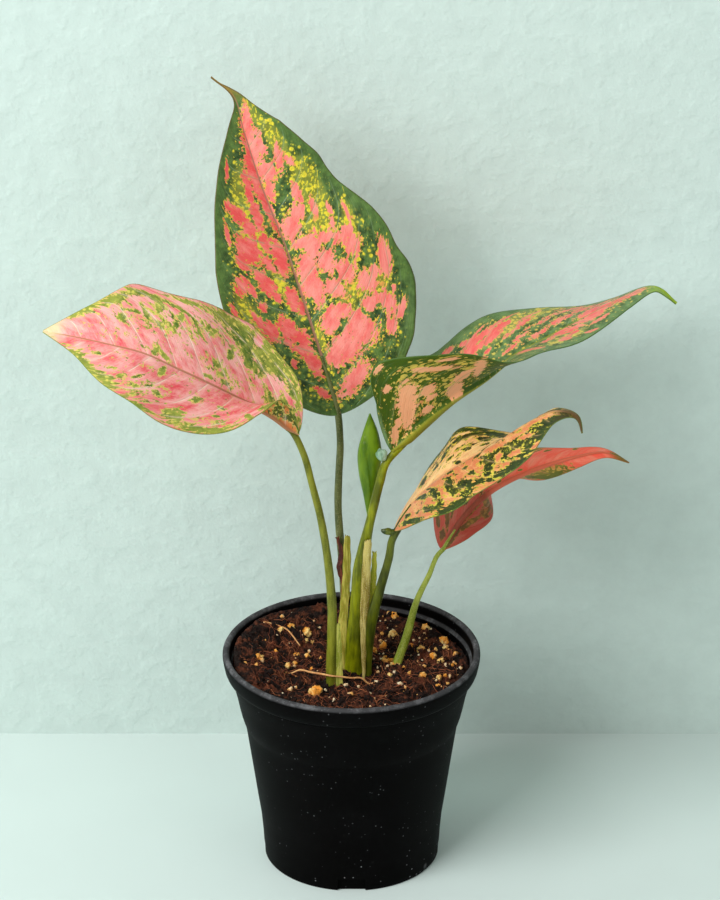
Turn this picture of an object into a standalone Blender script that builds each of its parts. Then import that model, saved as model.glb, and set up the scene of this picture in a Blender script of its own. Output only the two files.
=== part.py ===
"""Potted Chinese evergreen: a pink and green Aglaonema in a black plastic nursery pot.

Units are metres and +Z is up. The origin is the middle of the pot's foot, on the surface the
pot stands on. Shapes are given in millimetres below and scaled once, by MM.
"""

import math
from dataclasses import dataclass

import bmesh
import bpy
import numpy as np
from mathutils import Vector, noise

# ---------------------------------------------------------------- driving dimensions (mm)
MM = 0.001
TOUCH_GAP = 0.3            # clearance between pieces that touch

POT_HEIGHT = 115.0
POT_RIM_RADIUS = 65.0
POT_FOOT_RADIUS = 44.4
POT_WALL = 1.2
POT_STEPS = 40             # facets round the pot and the mix

COLLAR_BOTTOM = 76.5       # the step under the stacking collar
LIP_HEIGHT = 11.0
LEDGE_DEPTH = 7.2          # ledge inside, below the top of the rim

FLOOR_LIFT = 7.5           # underside of the raised floor above the table
CENTRE_PAD_RADIUS = 12.0   # flat pad in the middle, level with the foot
DRAIN_HOLE_COUNT = 6
DRAIN_HOLE_RADIUS = 4.0
DRAIN_HOLE_CIRCLE = 28.0
FOOT_NOTCH_COUNT = 4
FOOT_NOTCH_WIDTH = 14.0
FOOT_NOTCH_HEIGHT = 6.8

MIX_LEVEL = 104.5          # mean level of the potting mix
PLANTING_DEPTH = 12.0      # how far stalks and sheaths reach into the mix
CANE_TOP = 99.0
CANE_LENGTH = 16.0
CANE_RADIUS = 9.5
CANE_PLACE = (3.5, 2.5)

BLADE_THICKNESS = 0.7
BLADE_ROWS = 20            # facets along a blade
BLADE_COLUMNS = 8          # facets across a blade
STALK_FACETS_PER_SPAN = 2

# ---------------------------------------------------------------- colours
POT_BLACK = (0.012, 0.012, 0.013)
MIX_BROWN = (0.045, 0.018, 0.010)
CANE_BROWN = (0.12, 0.07, 0.03)
STALK_GREEN = (0.10, 0.16, 0.02)
BLADE_GREEN = (0.05, 0.13, 0.03)
BLADE_PINK = (0.80, 0.16, 0.17)
BLADE_SALMON = (0.80, 0.33, 0.14)
SPEAR_GREEN = (0.16, 0.32, 0.01)
SHEATH_TAN = (0.45, 0.30, 0.10)
SHEATH_BROWN = (0.10, 0.03, 0.02)
ROOT_TAN = (0.55, 0.30, 0.13)
PERLITE_CREAM = (0.75, 0.55, 0.30)
BARK_BROWN = (0.25, 0.11, 0.04)


# ---------------------------------------------------------------- smooth curves
def smooth_values(values, fractions):
    """Catmull-Rom curve through equally spaced values, read at fractions 0 to 1."""
    knots = np.array(values, float)
    knots = np.concatenate([[2 * knots[0] - knots[1]], knots, [2 * knots[-1] - knots[-2]]])
    spans = len(values) - 1
    place = np.clip(fractions, 0, 1) * spans
    first = np.minimum(place.astype(int), spans - 1)
    t = place - first
    a, b, c, d = (knots[first + offset] for offset in range(4))
    return 0.5 * (2 * b + (c - a) * t + (2 * a - 5 * b + 4 * c - d) * t**2 + (3 * b - a - 3 * c + d) * t**3)


def smooth_path(points, fractions):
    """Places and directions at fractions of the length of a smooth curve through points."""
    knots = np.array(points, float)
    gaps = np.sqrt(np.linalg.norm(np.diff(knots, axis=0), axis=1))
    marks = np.concatenate([[-gaps[0]], [0], np.cumsum(gaps), [gaps.sum() + gaps[-1]]])
    knots = np.vstack([2 * knots[0] - knots[1], knots, 2 * knots[-1] - knots[-2]])
    s = np.linspace(0, gaps.sum(), 401)
    first = np.clip(np.searchsorted(marks[1:-1], s, side="right") - 1, 0, len(gaps) - 1)
    m0, m1, m2, m3 = (marks[first + offset][:, None] for offset in range(4))
    p0, p1, p2, p3 = (knots[first + offset] for offset in range(4))
    s = s[:, None]
    a1 = (p0 * (m1 - s) + p1 * (s - m0)) / (m1 - m0)
    a2 = (p1 * (m2 - s) + p2 * (s - m1)) / (m2 - m1)
    a3 = (p2 * (m3 - s) + p3 * (s - m2)) / (m3 - m2)
    b1 = (a1 * (m2 - s) + a2 * (s - m0)) / (m2 - m0)
    b2 = (a2 * (m3 - s) + a3 * (s - m1)) / (m3 - m1)
    curve = (b1 * (m2 - s) + b2 * (s - m1)) / (m2 - m1)
    length = np.concatenate([[0], np.cumsum(np.linalg.norm(np.diff(curve, axis=0), axis=1))])
    slopes = np.gradient(curve, length, axis=0)
    at = np.asarray(fractions) * length[-1]
    places = np.stack([np.interp(at, length, curve[:, axis]) for axis in range(3)], axis=1)
    directions = np.stack([np.interp(at, length, slopes[:, axis]) for axis in range(3)], axis=1)
    return places, directions / np.linalg.norm(directions, axis=1, keepdims=True)


# ---------------------------------------------------------------- scene helpers
def clear_scene():
    for old in list(bpy.data.objects):
        bpy.data.objects.remove(old, do_unlink=True)


def new_collection(name):
    collection = bpy.data.collections.new(name)
    bpy.context.scene.collection.children.link(collection)
    return collection


def material(name, colour, roughness, metallic=0.0):
    result = bpy.data.materials.new(name)
    result.use_nodes = True
    shader = result.node_tree.nodes["Principled BSDF"]
    shader.inputs["Base Color"].default_value = (*colour, 1.0)
    shader.inputs["Roughness"].default_value = roughness
    shader.inputs["Metallic"].default_value = metallic
    return result


def add_part(name, mesh, collection, surface):
    part = bpy.data.objects.new(name, mesh)
    if surface:
        mesh.materials.clear()
        mesh.materials.append(surface)
    collection.objects.link(part)
    return part


def mesh_from_bmesh(name, shape):
    mesh = bpy.data.meshes.new(name)
    shape.to_mesh(mesh)
    shape.free()
    mesh.shade_smooth()
    return mesh


def mesh_of(part):
    """The evaluated mesh of an object, with coincident points joined."""
    evaluated = part.evaluated_get(bpy.context.evaluated_depsgraph_get())
    mesh = bpy.data.meshes.new_from_object(evaluated)
    shape = bmesh.new()
    shape.from_mesh(mesh)
    bmesh.ops.remove_doubles(shape, verts=shape.verts, dist=0.00001)
    shape.to_mesh(mesh)
    shape.free()
    return mesh


def as_cutter(part):
    part.hide_render = True
    part.display_type = "WIRE"
    return part


def cut(part, cutters):
    """Take a whole collection of cutters out of a part."""
    boolean = part.modifiers.new("cut", "BOOLEAN")
    boolean.operation = "DIFFERENCE"
    boolean.operand_type = "COLLECTION"
    boolean.collection = cutters
    boolean.solver = "EXACT"


def turned(name, profile, steps, collection, surface):
    """A solid of revolution. The profile of (radius, height) runs down its outer side."""
    mesh = bpy.data.meshes.new(name)
    corners = [(radius * MM, 0, height * MM) for radius, height in profile]
    mesh.from_pydata(corners, [(i, i + 1) for i in range(len(corners) - 1)], [])
    part = add_part(name, mesh, collection, surface)
    screw = part.modifiers.new("turn", "SCREW")
    screw.steps = steps
    screw.render_steps = steps
    screw.use_merge_vertices = True
    screw.merge_threshold = 0.00001
    return part


def tube(name, points, radii, collection, surface, sides=2, spread=0.0):
    """A rod along a smooth path, its radius given at each path point."""
    spans = len(points) - 1
    fractions = np.linspace(0, 1, STALK_FACETS_PER_SPAN * spans + 1)
    places, _ = smooth_path(points, fractions)
    thickness = smooth_values(radii, fractions) + spread
    curve = bpy.data.curves.new(name, "CURVE")
    curve.dimensions = "3D"
    curve.bevel_depth = MM
    curve.bevel_resolution = sides
    curve.use_fill_caps = True
    spline = curve.splines.new("POLY")
    spline.points.add(len(places) - 1)
    for point, place, radius in zip(spline.points, places, thickness):
        point.co = (*(place * MM), 1)
        point.radius = radius
    guide = bpy.data.objects.new(name + "_path", curve)
    collection.objects.link(guide)
    mesh = mesh_of(guide)
    bpy.data.objects.remove(guide, do_unlink=True)
    mesh.shade_smooth()
    return add_part(name, mesh, collection, surface)


# ---------------------------------------------------------------- leaf blades
@dataclass
class Half:
    """One half of a blade, from its midrib to its margin; values equally spaced, base to tip."""
    width: tuple             # mm, measured over the surface
    rise: tuple              # degrees that the half leaves the midrib above level
    curl: tuple = (0, 0)     # degrees that it bends on from midrib to margin
    sweep: tuple = (0, 0)    # mm that the margin runs ahead of the midrib
    ripple: tuple = (0, 1, 0)    # margin wave: mm, waves, phase


@dataclass
class Blade:
    """A leaf blade: a midrib in space, the way its upper side faces, and two halves."""
    midrib: tuple
    face: tuple
    left: Half
    right: Half
    round: float = 0.1       # share of the length over which the base is rounded
    base_width: float = 0.0  # mm, half-width where the blade leaves its stalk


def half_width(blade, half, along):
    height, waves, phase = half.ripple
    ends = np.clip(8 * np.minimum(along, 1 - along), 0, 1)
    width = smooth_values(half.width, along) + height * ends * np.sin(2 * math.pi * (waves * along + phase))
    lead = np.clip(1 - along / blade.round, 0, 1)
    return np.maximum(np.maximum(width, 0.4) * np.sqrt(1 - lead**2), blade.base_width * lead)


def blade_points(blade, along, across):
    """Points of the middle surface: fractions along the midrib by places -1 to 1 across it."""
    ribs, forward = smooth_path(blade.midrib, along)
    up = np.array(blade.face, float) - forward * (forward @ np.array(blade.face, float))[:, None]
    up /= np.linalg.norm(up, axis=1, keepdims=True)
    side = np.cross(forward, up)
    points = np.zeros((len(along), len(across), 3))
    for column, place in enumerate(across):
        half = blade.left if place < 0 else blade.right
        reach = abs(place)
        width = half_width(blade, half, along)
        turns = np.linspace(0, reach, 9)[None, :]
        bend = np.radians(smooth_values(half.curl, along))[:, None] * turns
        angle = np.radians(smooth_values(half.rise, along))[:, None] + bend
        out = (width * reach * np.cos(angle).mean(axis=1))[:, None]
        lift = (width * reach * np.sin(angle).mean(axis=1))[:, None]
        ahead = (smooth_values(half.sweep, along) * reach**2)[:, None]
        points[:, column] = ribs + side * out * math.copysign(1, place) + up * lift + forward * ahead
    return points


def add_blade(name, blade, collection, surface, thickness=BLADE_THICKNESS, rows=BLADE_ROWS,
              columns=BLADE_COLUMNS):
    """A blade as a grid laid on its middle surface, with Solidify for its thickness."""
    along = (1 - np.cos(math.pi * np.linspace(0, 1, rows + 1))) / 2
    across = np.linspace(-1, 1, columns + 1)
    points = blade_points(blade, along, across)
    shape = bmesh.new()
    bmesh.ops.create_grid(shape, x_segments=columns, y_segments=rows, size=0.5)
    for vert in shape.verts:
        column = round((vert.co.x + 0.5) * columns)
        row = round((vert.co.y + 0.5) * rows)
        vert.co = Vector(points[row, column] * MM)
    part = add_part(name, mesh_from_bmesh(name, shape), collection, surface)
    solidify = part.modifiers.new("thickness", "SOLIDIFY")
    solidify.thickness = thickness * MM
    solidify.offset = 0
    return part


LEAF_TALL = Blade(
    midrib=((-6, 28, 232), (-15, 34, 262), (-24, 42, 289), (-33, 50, 315), (-44, 58, 342),
            (-53, 66, 369), (-58, 71, 385), (-69, 74, 394)),
    face=(0.0, -0.93, 0.37),
    left=Half(width=(14, 23, 34, 42, 43, 39, 32, 22, 12, 2, 0.4),
              rise=(10, 12, 14, 16, 18, 20, 20), curl=(0, 5, 10, 10, 10, 10, 0)),
    right=Half(width=(24, 38, 49, 55, 54, 46, 37, 30, 21, 7, 0.4),
               rise=(10, 10, 10, 10, 12, 15, 15), curl=(-10, -10, -15, -15, -10, 0, 0),
               ripple=(1.6, 3.6, 0.42)))

LEAF_LEFT = Blade(
    midrib=((-26, -8, 238), (-40, -12, 251), (-55, -19, 263), (-69, -26, 274), (-84, -31, 284),
            (-99, -34, 293), (-115, -35, 298), (-131, -33, 301), (-148, -30, 303)),
    face=(0.1, -0.55, 0.83),
    left=Half(width=(7, 13, 23, 31, 35, 33, 26, 11, 0.5),
              rise=(90, 110, 60, 15, 5, 5, 5, 5, 5)),
    right=Half(width=(12, 26, 39, 40, 38, 33, 33, 17, 0.5),
               rise=(30, 20, 15, 15, 15, 10, 10, 10, 10), curl=(0, -5, -10, -10, -10, 0, 0)),
    round=0.12)

LEAF_UPPER_RIGHT = Blade(
    midrib=((20, 0, 225), (34, 9, 235), (49, 18, 245), (65, 28, 252), (80, 38, 260), (97, 47, 266),
            (115, 55, 273), (135, 61, 281), (152, 64, 286), (163, 62, 278)),
    face=(0, 0, 1),
    left=Half(width=(13, 31, 38, 38, 34, 28, 20, 9, 0.5),
              rise=(50, 20, 5, 2, 10, 0, -18, -20, -10)),
    right=Half(width=(34, 46, 41, 37, 34, 28, 20, 10, 0.5),
               rise=(95, 90, 58, 27, 15, 8, 3, 3, 0), sweep=(4, -2, 0, 0, 0, 0, 0, 0, 0)),
    round=0.08)

LEAF_FRONT_RIGHT = Blade(
    midrib=((21, -8, 186), (28, -12, 200), (36, -16, 212), (46, -22, 224), (58, -28, 235),
            (69, -34, 245), (83, -40, 258), (98, -46, 268), (108, -49, 267), (111, -50, 258)),
    face=(-0.3, -0.2, 0.9),
    left=Half(width=(8, 16, 24, 29, 27, 22, 16, 5, 0.5),
              rise=(0, -5, 5, 8, -15, -32, -30, -20, 0), curl=(-10, -10, -10, -10, -10, 0, 0)),
    right=Half(width=(6, 14, 24, 28, 27, 25, 24, 14, 0.5),
               rise=(0, 0, 5, 0, 0, 0, -5, -10, 0), curl=(-10, -20, -25, -25, -25, -25, -20, 0, 0)),
    round=0.12)

LEAF_LOW_RIGHT = Blade(
    midrib=((45, 18, 162), (57, 20, 180), (70, 23, 192), (85, 27, 199), (99, 31, 203),
            (113, 34, 206), (127, 37, 207), (140, 38, 201)),
    face=(-0.3, -0.1, 0.95),
    left=Half(width=(16, 24, 27, 28, 27, 20, 11, 5, 0.5),
              rise=(20, 20, 15, 15, 10, 5, 0, 0, 0), curl=(-10, -10, -10, -10, -10, 0, 0)),
    right=Half(width=(4, 9, 13, 15, 16, 10, 6, 3, 0.4),
               rise=(-30, -50, -75, -150, -130, -90, -60, -40, 0), curl=(-30, -30)),
    round=0.12)

# name: (blade, colour, path of its stalk from the blade down, radius at each path point)
LEAVES = {
    "tall": (LEAF_TALL, BLADE_GREEN,
             ((-6, 28, 232), (-7, 27, 217), (-7, 24, 201), (-6.7, 21, 185), (-5.7, 17, 169),
              (-4.6, 14, 158), (-3.9, 11.8, 143), (-3.3, 10.2, 127), (-3.4, 9.3, 111), (-3.4, 9.2, 99.3)),
             (1.3, 1.35, 1.4, 1.5, 1.55, 1.6, 1.7, 1.9, 2.1, 2.1)),
    "left": (LEAF_LEFT, BLADE_PINK,
             ((-26, -8, 238), (-23.2, -9, 227), (-19.3, -11, 212), (-15.4, -13, 196), (-12.5, -15, 179),
              (-10.6, -16, 162), (-9.6, -17, 146), (-9.7, -17, 129), (-10, -17, 115), (-10, -17, 104),
              (-10, -17, 92.5)),
             (1.15, 1.2, 1.4, 1.6, 1.85, 2.0, 2.1, 2.3, 2.6, 2.65, 2.3)),
    "upper_right": (LEAF_UPPER_RIGHT, BLADE_SALMON,
                    ((20, 0, 225), (17.1, -1, 219), (14.2, -1, 209), (11.7, -1, 198), (9.0, -0.9, 185.5),
                     (6.5, 0, 172), (4.2, 1.2, 153), (3.2, 1.9, 136), (2.4, 2, 125), (2.2, 2, 115),
                     (2.3, 2, 99.3)),
                    (2.0, 2.3, 2.1, 2.1, 2.8, 3.8, 3.9, 4.1, 5.0, 5.8, 6.0)),
    "front_right": (LEAF_FRONT_RIGHT, BLADE_SALMON,
                    ((21, -8, 186), (20.2, -8, 180), (18.7, -7, 169.7), (14.3, -5, 151.3), (11.3, -4, 139),
                     (9.6, -3.3, 129), (9.1, -3.1, 118), (9.1, -3, 108), (9.1, -3, 99.3)),
                    (1.9, 1.9, 2.0, 2.4, 2.7, 2.6, 2.1, 1.6, 1.5)),
    "low_right": (LEAF_LOW_RIGHT, BLADE_PINK,
                  ((45, 18, 162), (43.1, 18, 158.3), (39.1, 16, 148.6), (33.1, 13, 136), (27.6, 10, 116),
                   (23, 6.4, 103), (21.2, 5.2, 94)),
                  (1.2, 1.3, 1.5, 1.8, 2.1, 2.3, 2.0)),
}

SPEAR_PATH = ((8.6, 2.4, 188), (8.5, 4.6, 198), (8.8, 7.5, 208), (9.3, 9.6, 219), (9.6, 11, 230), (9.2, 12, 240))
SPEAR_RADII = (0.6, 2.2, 4.4, 5.4, 3.6, 0.3)

# name: (colour, middle line from the top down, side that faces out, half-width down the line, curl)
SHEATHS = {
    "sheath_tan_left": (SHEATH_TAN, ((-2.2, 2.5, 177), (-2.4, 3, 160), (-3.0, 3, 147), (-4.0, 2.8, 135),
                                     (-4.7, 2.5, 123), (-4.8, 2.2, 110), (-4.8, 2, 99.5)),
                        (-1, 0, 0), (1.3, 1.6, 1.8, 2.0, 2.2, 2.3, 2.3), (-20, -20)),
    "sheath_tan_front": (SHEATH_TAN, ((8.3, -4.9, 179), (7.4, -4.1, 160), (6.9, -3.4, 147), (6.3, -2.8, 135),
                                      (6.0, -2.9, 131)),
                         (0.45, -0.9, 0), (1.7, 1.7, 1.5, 1.2, 0.9), (-25, -25)),
    "sheath_yellow_right": (SHEATH_TAN, ((11.5, -1, 169), (11.1, -0.5, 160), (10.3, 0.2, 150),
                                         (9.2, 0.9, 140), (8.3, 1.6, 130), (8.6, 1.9, 120)),
                            (1, 0.1, 0), (1.1, 1.3, 1.5, 1.5, 1.4, 1.2), (-20, -20)),
    "sheath_brown": (SHEATH_BROWN, ((-8.2, 17.3, 171), (-7.5, 15.3, 163), (-6.9, 13.6, 154), (-6.5, 12.4, 146)),
                     (-1, 0, 0), (0.8, 1.3, 1.4, 0.9), (-25, 20)),
    "sheath_left": (SHEATH_TAN, ((-6.6, -16.5, 138), (-6.5, -16.7, 123), (-6.3, -16.8, 108), (-6.3, -16.8, 97)),
                    (1, 0, 0), (0.8, 1.5, 1.7, 1.6), (-20, -20)),
}
SHEATH_THICKNESS = 0.6

# surface roots: (colour, radius, points; a height of None lies on the mix)
ROOTS = {
    "root_long": (ROOT_TAN, 0.5, ((-35, -11, None), (-29, -10, None), (-20, -15, 109.5), (-10, -20.8, 110.6),
                                  (-3, -18, 108.4), (5, -15.5, None), (12, -14.5, None))),
    "root_left": (ROOT_TAN, 0.4, ((-45, 32, None), (-39, 31, None), (-33, 27, None), (-26, 18, None))),
    "root_right": (SHEATH_BROWN, 0.5, ((21, -24, None), (24, -19, None), (28, -14, None), (30, -9, None))),
}

# perlite granules: (x, y, radius)
GRANULES = ((-47, -4, 2.5), (-18, -31, 3.0), (-23, 32, 2.7), (-31, 33, 1.8), (21, 34, 2.0), (16, 25, 1.8),
            (11, 20, 2.0), (22, 50, 1.8), (38, 40, 2.0), (47, 28, 2.0), (35, 19, 2.0), (36, -8, 1.6))
GRANULE_SINK = 0.45        # share of the radius that lies below the mix's surface
BARK_CHIP = (-37, 38, 3.2, 1.5, 1.0)    # x, y and half-sizes


# ---------------------------------------------------------------- pot
def build_pot(parts, cutters):
    """A thin turned shell with a rolled lip, a stacking collar and a raised, drained floor."""
    rim = POT_RIM_RADIUS
    top = POT_HEIGHT
    lip_bottom = top - LIP_HEIGHT
    ledge = top - LEDGE_DEPTH
    inside = [(0, POT_WALL), (CENTRE_PAD_RADIUS - 1, POT_WALL), (CENTRE_PAD_RADIUS + 3.2, FLOOR_LIFT + POT_WALL),
              (POT_FOOT_RADIUS - POT_WALL, FLOOR_LIFT + POT_WALL), (53.3 - POT_WALL, 72),
              (54.1 - POT_WALL, COLLAR_BOTTOM + 0.6), (55.8 - POT_WALL, COLLAR_BOTTOM + 5),
              (60.5 - POT_WALL, 101), (60.9 - POT_WALL, ledge), (rim - 4.0, ledge + 0.7)]
    lip = [(rim - 3.6, top - 1.2), (rim - 2.8, top - 0.2), (rim - 1.8, top), (rim - 0.7, top - 0.6),
           (rim, top - 2.0), (rim - 0.4, top - 5), (rim - 1.5, lip_bottom + 1.2), (rim - 2.6, lip_bottom)]
    outside = [(60.9, lip_bottom + 0.4), (60.5, 101), (55.8, COLLAR_BOTTOM + 5), (54.2, COLLAR_BOTTOM), (53.3, 72),
               (POT_FOOT_RADIUS + 0.3, 1.2), (POT_FOOT_RADIUS - 0.2, 0), (POT_FOOT_RADIUS - 1.9, 0),
               (POT_FOOT_RADIUS - 2.1, FLOOR_LIFT), (CENTRE_PAD_RADIUS + 4, FLOOR_LIFT), (CENTRE_PAD_RADIUS, 0),
               (0, 0)]
    pot = turned("pot", inside + lip + outside, POT_STEPS, parts, material("pot_plastic", POT_BLACK, 0.45))
    add_foot_notches(cutters)
    add_drain_holes(cutters)
    cut(pot, cutters)
    return pot


def add_foot_notches(cutters):
    for index in range(FOOT_NOTCH_COUNT):
        angle = 2 * math.pi * (index + 0.5) / FOOT_NOTCH_COUNT + math.pi / 4
        shape = bmesh.new()
        bmesh.ops.create_cube(shape, size=1)
        mesh = mesh_from_bmesh("foot_notch", shape)
        notch = as_cutter(add_part("foot_notch", mesh, cutters, None))
        notch.scale = (8 * MM, FOOT_NOTCH_WIDTH * MM, 2 * FOOT_NOTCH_HEIGHT * MM)
        notch.rotation_euler.z = angle
        notch.location = (POT_FOOT_RADIUS * math.cos(angle) * MM, POT_FOOT_RADIUS * math.sin(angle) * MM, 0)


def add_drain_holes(cutters):
    for index in range(DRAIN_HOLE_COUNT):
        angle = 2 * math.pi * index / DRAIN_HOLE_COUNT
        shape = bmesh.new()
        bmesh.ops.create_cone(shape, cap_ends=True, segments=16, radius1=DRAIN_HOLE_RADIUS * MM,
                              radius2=DRAIN_HOLE_RADIUS * MM, depth=6 * MM)
        hole = as_cutter(add_part("drain_hole", mesh_from_bmesh("drain_hole", shape), cutters, None))
        hole.location = (DRAIN_HOLE_CIRCLE * math.cos(angle) * MM, DRAIN_HOLE_CIRCLE * math.sin(angle) * MM,
                         (FLOOR_LIFT + POT_WALL / 2) * MM)


# ---------------------------------------------------------------- potting mix
def mix_height(x, y):
    """Height in mm of the mix's uneven surface: it lies higher at the left and the front."""
    slope = -0.035 * x - 0.02 * y
    humps = 0.8 * math.sin(x / 7.5 + 1) * math.cos(y / 9) + 0.6 * math.sin(y / 6.3 + x / 11)
    return MIX_LEVEL + slope + humps


def build_mix(parts, sockets):
    """The block of mix, a loose fit in the pot, with a socket for each thing planted in it."""
    slack = POT_WALL + TOUCH_GAP + 0.1
    floor = FLOOR_LIFT + POT_WALL + TOUCH_GAP
    rings = [(radius, MIX_LEVEL) for radius in (0, 7, 14, 21, 28, 35, 42, 49, 55)]
    side = [(60.2 - slack, MIX_LEVEL), (55.6 - slack, COLLAR_BOTTOM + 5), (54.0 - slack, COLLAR_BOTTOM + 0.6),
            (53.2 - slack, 72), (POT_FOOT_RADIUS - slack, floor), (CENTRE_PAD_RADIUS + 2.9, floor),
            (CENTRE_PAD_RADIUS - 1.4, POT_WALL + TOUCH_GAP), (0, POT_WALL + TOUCH_GAP)]
    blank = turned("mix_blank", rings + side, POT_STEPS, parts, None)
    mesh = mesh_of(blank)
    bpy.data.objects.remove(blank, do_unlink=True)
    for vert in mesh.vertices:
        if vert.co.z > (MIX_LEVEL - 1) * MM:
            vert.co.z = mix_height(vert.co.x / MM, vert.co.y / MM) * MM
    mix = add_part("potting_mix", mesh, parts, material("potting_mix", MIX_BROWN, 0.95))
    cut(mix, sockets)
    return mix


def build_cane(parts, sockets):
    """The short buried stem under the middle stalks."""
    x, y = CANE_PLACE
    points = ((x, y, CANE_TOP), (x, y, CANE_TOP - CANE_LENGTH / 2), (x + 1, y, CANE_TOP - CANE_LENGTH))
    radii = (CANE_RADIUS, CANE_RADIUS, CANE_RADIUS * 0.8)
    cane = tube("cane", points, radii, parts, material("cane", CANE_BROWN, 0.8))
    socket = tube("cane_socket", ((x, y, CANE_TOP + 0.2), points[1], (x + 1, y, points[2][2] - TOUCH_GAP)),
                  radii, sockets, None, spread=TOUCH_GAP)
    as_cutter(socket)
    return cane


def granule_mesh(name, radius, seed, spread=0.0):
    """A lumpy grain: an icosphere pushed in and out by noise."""
    shape = bmesh.new()
    bmesh.ops.create_icosphere(shape, subdivisions=2, radius=1)
    for vert in shape.verts:
        lump = 1 + 0.28 * noise.noise(vert.co * 1.3 + Vector((seed * 3.7, seed * 1.9, 0)))
        vert.co *= (radius * lump + spread) * MM
    return mesh_from_bmesh(name, shape)


def build_granules(parts, sockets):
    cream = material("perlite", PERLITE_CREAM, 0.9)
    for index, (x, y, radius) in enumerate(GRANULES, start=1):
        place = Vector((x, y, mix_height(x, y) + radius * (1 - 2 * GRANULE_SINK) + TOUCH_GAP)) * MM
        name = f"perlite_{index:02d}"
        granule = add_part(name, granule_mesh(name, radius, index), parts, cream)
        granule.location = place
        socket_mesh = granule_mesh(name + "_socket", radius, index, TOUCH_GAP)
        socket = as_cutter(add_part(name + "_socket", socket_mesh, sockets, None))
        socket.location = place


def build_bark_chip(parts, sockets):
    x, y, *half_sizes = BARK_CHIP
    bark = material("bark", BARK_BROWN, 0.9)
    for name, spread, target, surface in (("bark_chip", 0, parts, bark),
                                          ("bark_socket", TOUCH_GAP, sockets, None)):
        shape = bmesh.new()
        bmesh.ops.create_icosphere(shape, subdivisions=2, radius=1)
        for vert in shape.verts:
            chunk = 1 + 0.2 * noise.noise(vert.co * 2)
            vert.co = Vector([(size * chunk + spread) * MM * place for size, place in zip(half_sizes, vert.co)])
        chip = add_part(name, mesh_from_bmesh(name, shape), target, surface)
        chip.location = Vector((x, y, mix_height(x, y) + 0.4)) * MM
        chip.rotation_euler = (0.1, 0.2, 0.6)
        if target is sockets:
            as_cutter(chip)


# ---------------------------------------------------------------- plant
def build_leaves(parts, sockets):
    stalk_skin = material("stalk", STALK_GREEN, 0.4)
    for name, (blade, colour, path, radii) in LEAVES.items():
        add_blade("leaf_" + name, blade, parts, material("leaf_" + name, colour, 0.35))
        _, heading = smooth_path(blade.midrib, np.array([0.0]))
        top = np.array(path[0]) - heading[0] * 2 * TOUCH_GAP
        path = (tuple(top), *path[1:])
        tube("stalk_" + name, path, radii, parts, stalk_skin)
        foot = (*path[-1][:2], path[-1][2] - TOUCH_GAP)
        socket = tube("stalk_socket_" + name, (*path[:-1], foot), radii, sockets, None, spread=TOUCH_GAP)
        as_cutter(socket)
    tube("new_leaf", SPEAR_PATH, SPEAR_RADII, parts, material("new_leaf", SPEAR_GREEN, 0.35))


def build_sheaths(parts, sockets):
    for name, (colour, line, face, width, curl) in SHEATHS.items():
        half = Half(width=width, rise=(0, 0), curl=curl)
        strip = Blade(midrib=line, face=face, left=half, right=half, round=0.02, base_width=width[0])
        add_blade(name, strip, parts, material(name, colour, 0.7), SHEATH_THICKNESS, rows=12, columns=4)
        if line[-1][2] < MIX_LEVEL:
            wide = Half(width=tuple(w + TOUCH_GAP for w in width), rise=(0, 0), curl=curl)
            deep = (*line[:-1], (*line[-1][:2], line[-1][2] - TOUCH_GAP))
            hole = Blade(midrib=deep, face=face, left=wide, right=wide, round=0.02, base_width=width[0])
            socket = add_blade(name + "_socket", hole, sockets, None, SHEATH_THICKNESS + 2 * TOUCH_GAP,
                               rows=12, columns=4)
            as_cutter(socket)


def build_roots(parts):
    for name, (colour, radius, points) in ROOTS.items():
        seated = []
        for x, y, z in points:
            seated.append((x, y, mix_height(x, y) + radius + 0.5 if z is None else z))
        radii = [radius] * (len(points) - 1) + [radius * 0.6]
        tube(name, seated, radii, parts, material(name, colour, 0.7), sides=1)


def main():
    clear_scene()
    parts = new_collection("potted_chinese_evergreen")
    pot_cutters = new_collection("pot_cutters")
    sockets = new_collection("mix_sockets")
    build_pot(parts, pot_cutters)
    build_leaves(parts, sockets)
    build_sheaths(parts, sockets)
    build_cane(parts, sockets)
    build_granules(parts, sockets)
    build_bark_chip(parts, sockets)
    build_roots(parts)
    build_mix(parts, sockets)


main()
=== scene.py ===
"""Looks for a potted Chinese evergreen: patterned leaves, stalks, old sheaths, potting mix and a black pot.

Shapes are given in millimetres and scaled once, by MM. The frame gives every node's place.
"""

import math
import random
from dataclasses import dataclass

import bpy
import numpy as np
from bpy.props import FloatProperty, FloatVectorProperty, IntProperty, PointerProperty
from mathutils import Euler, Matrix, Vector, noise


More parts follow.
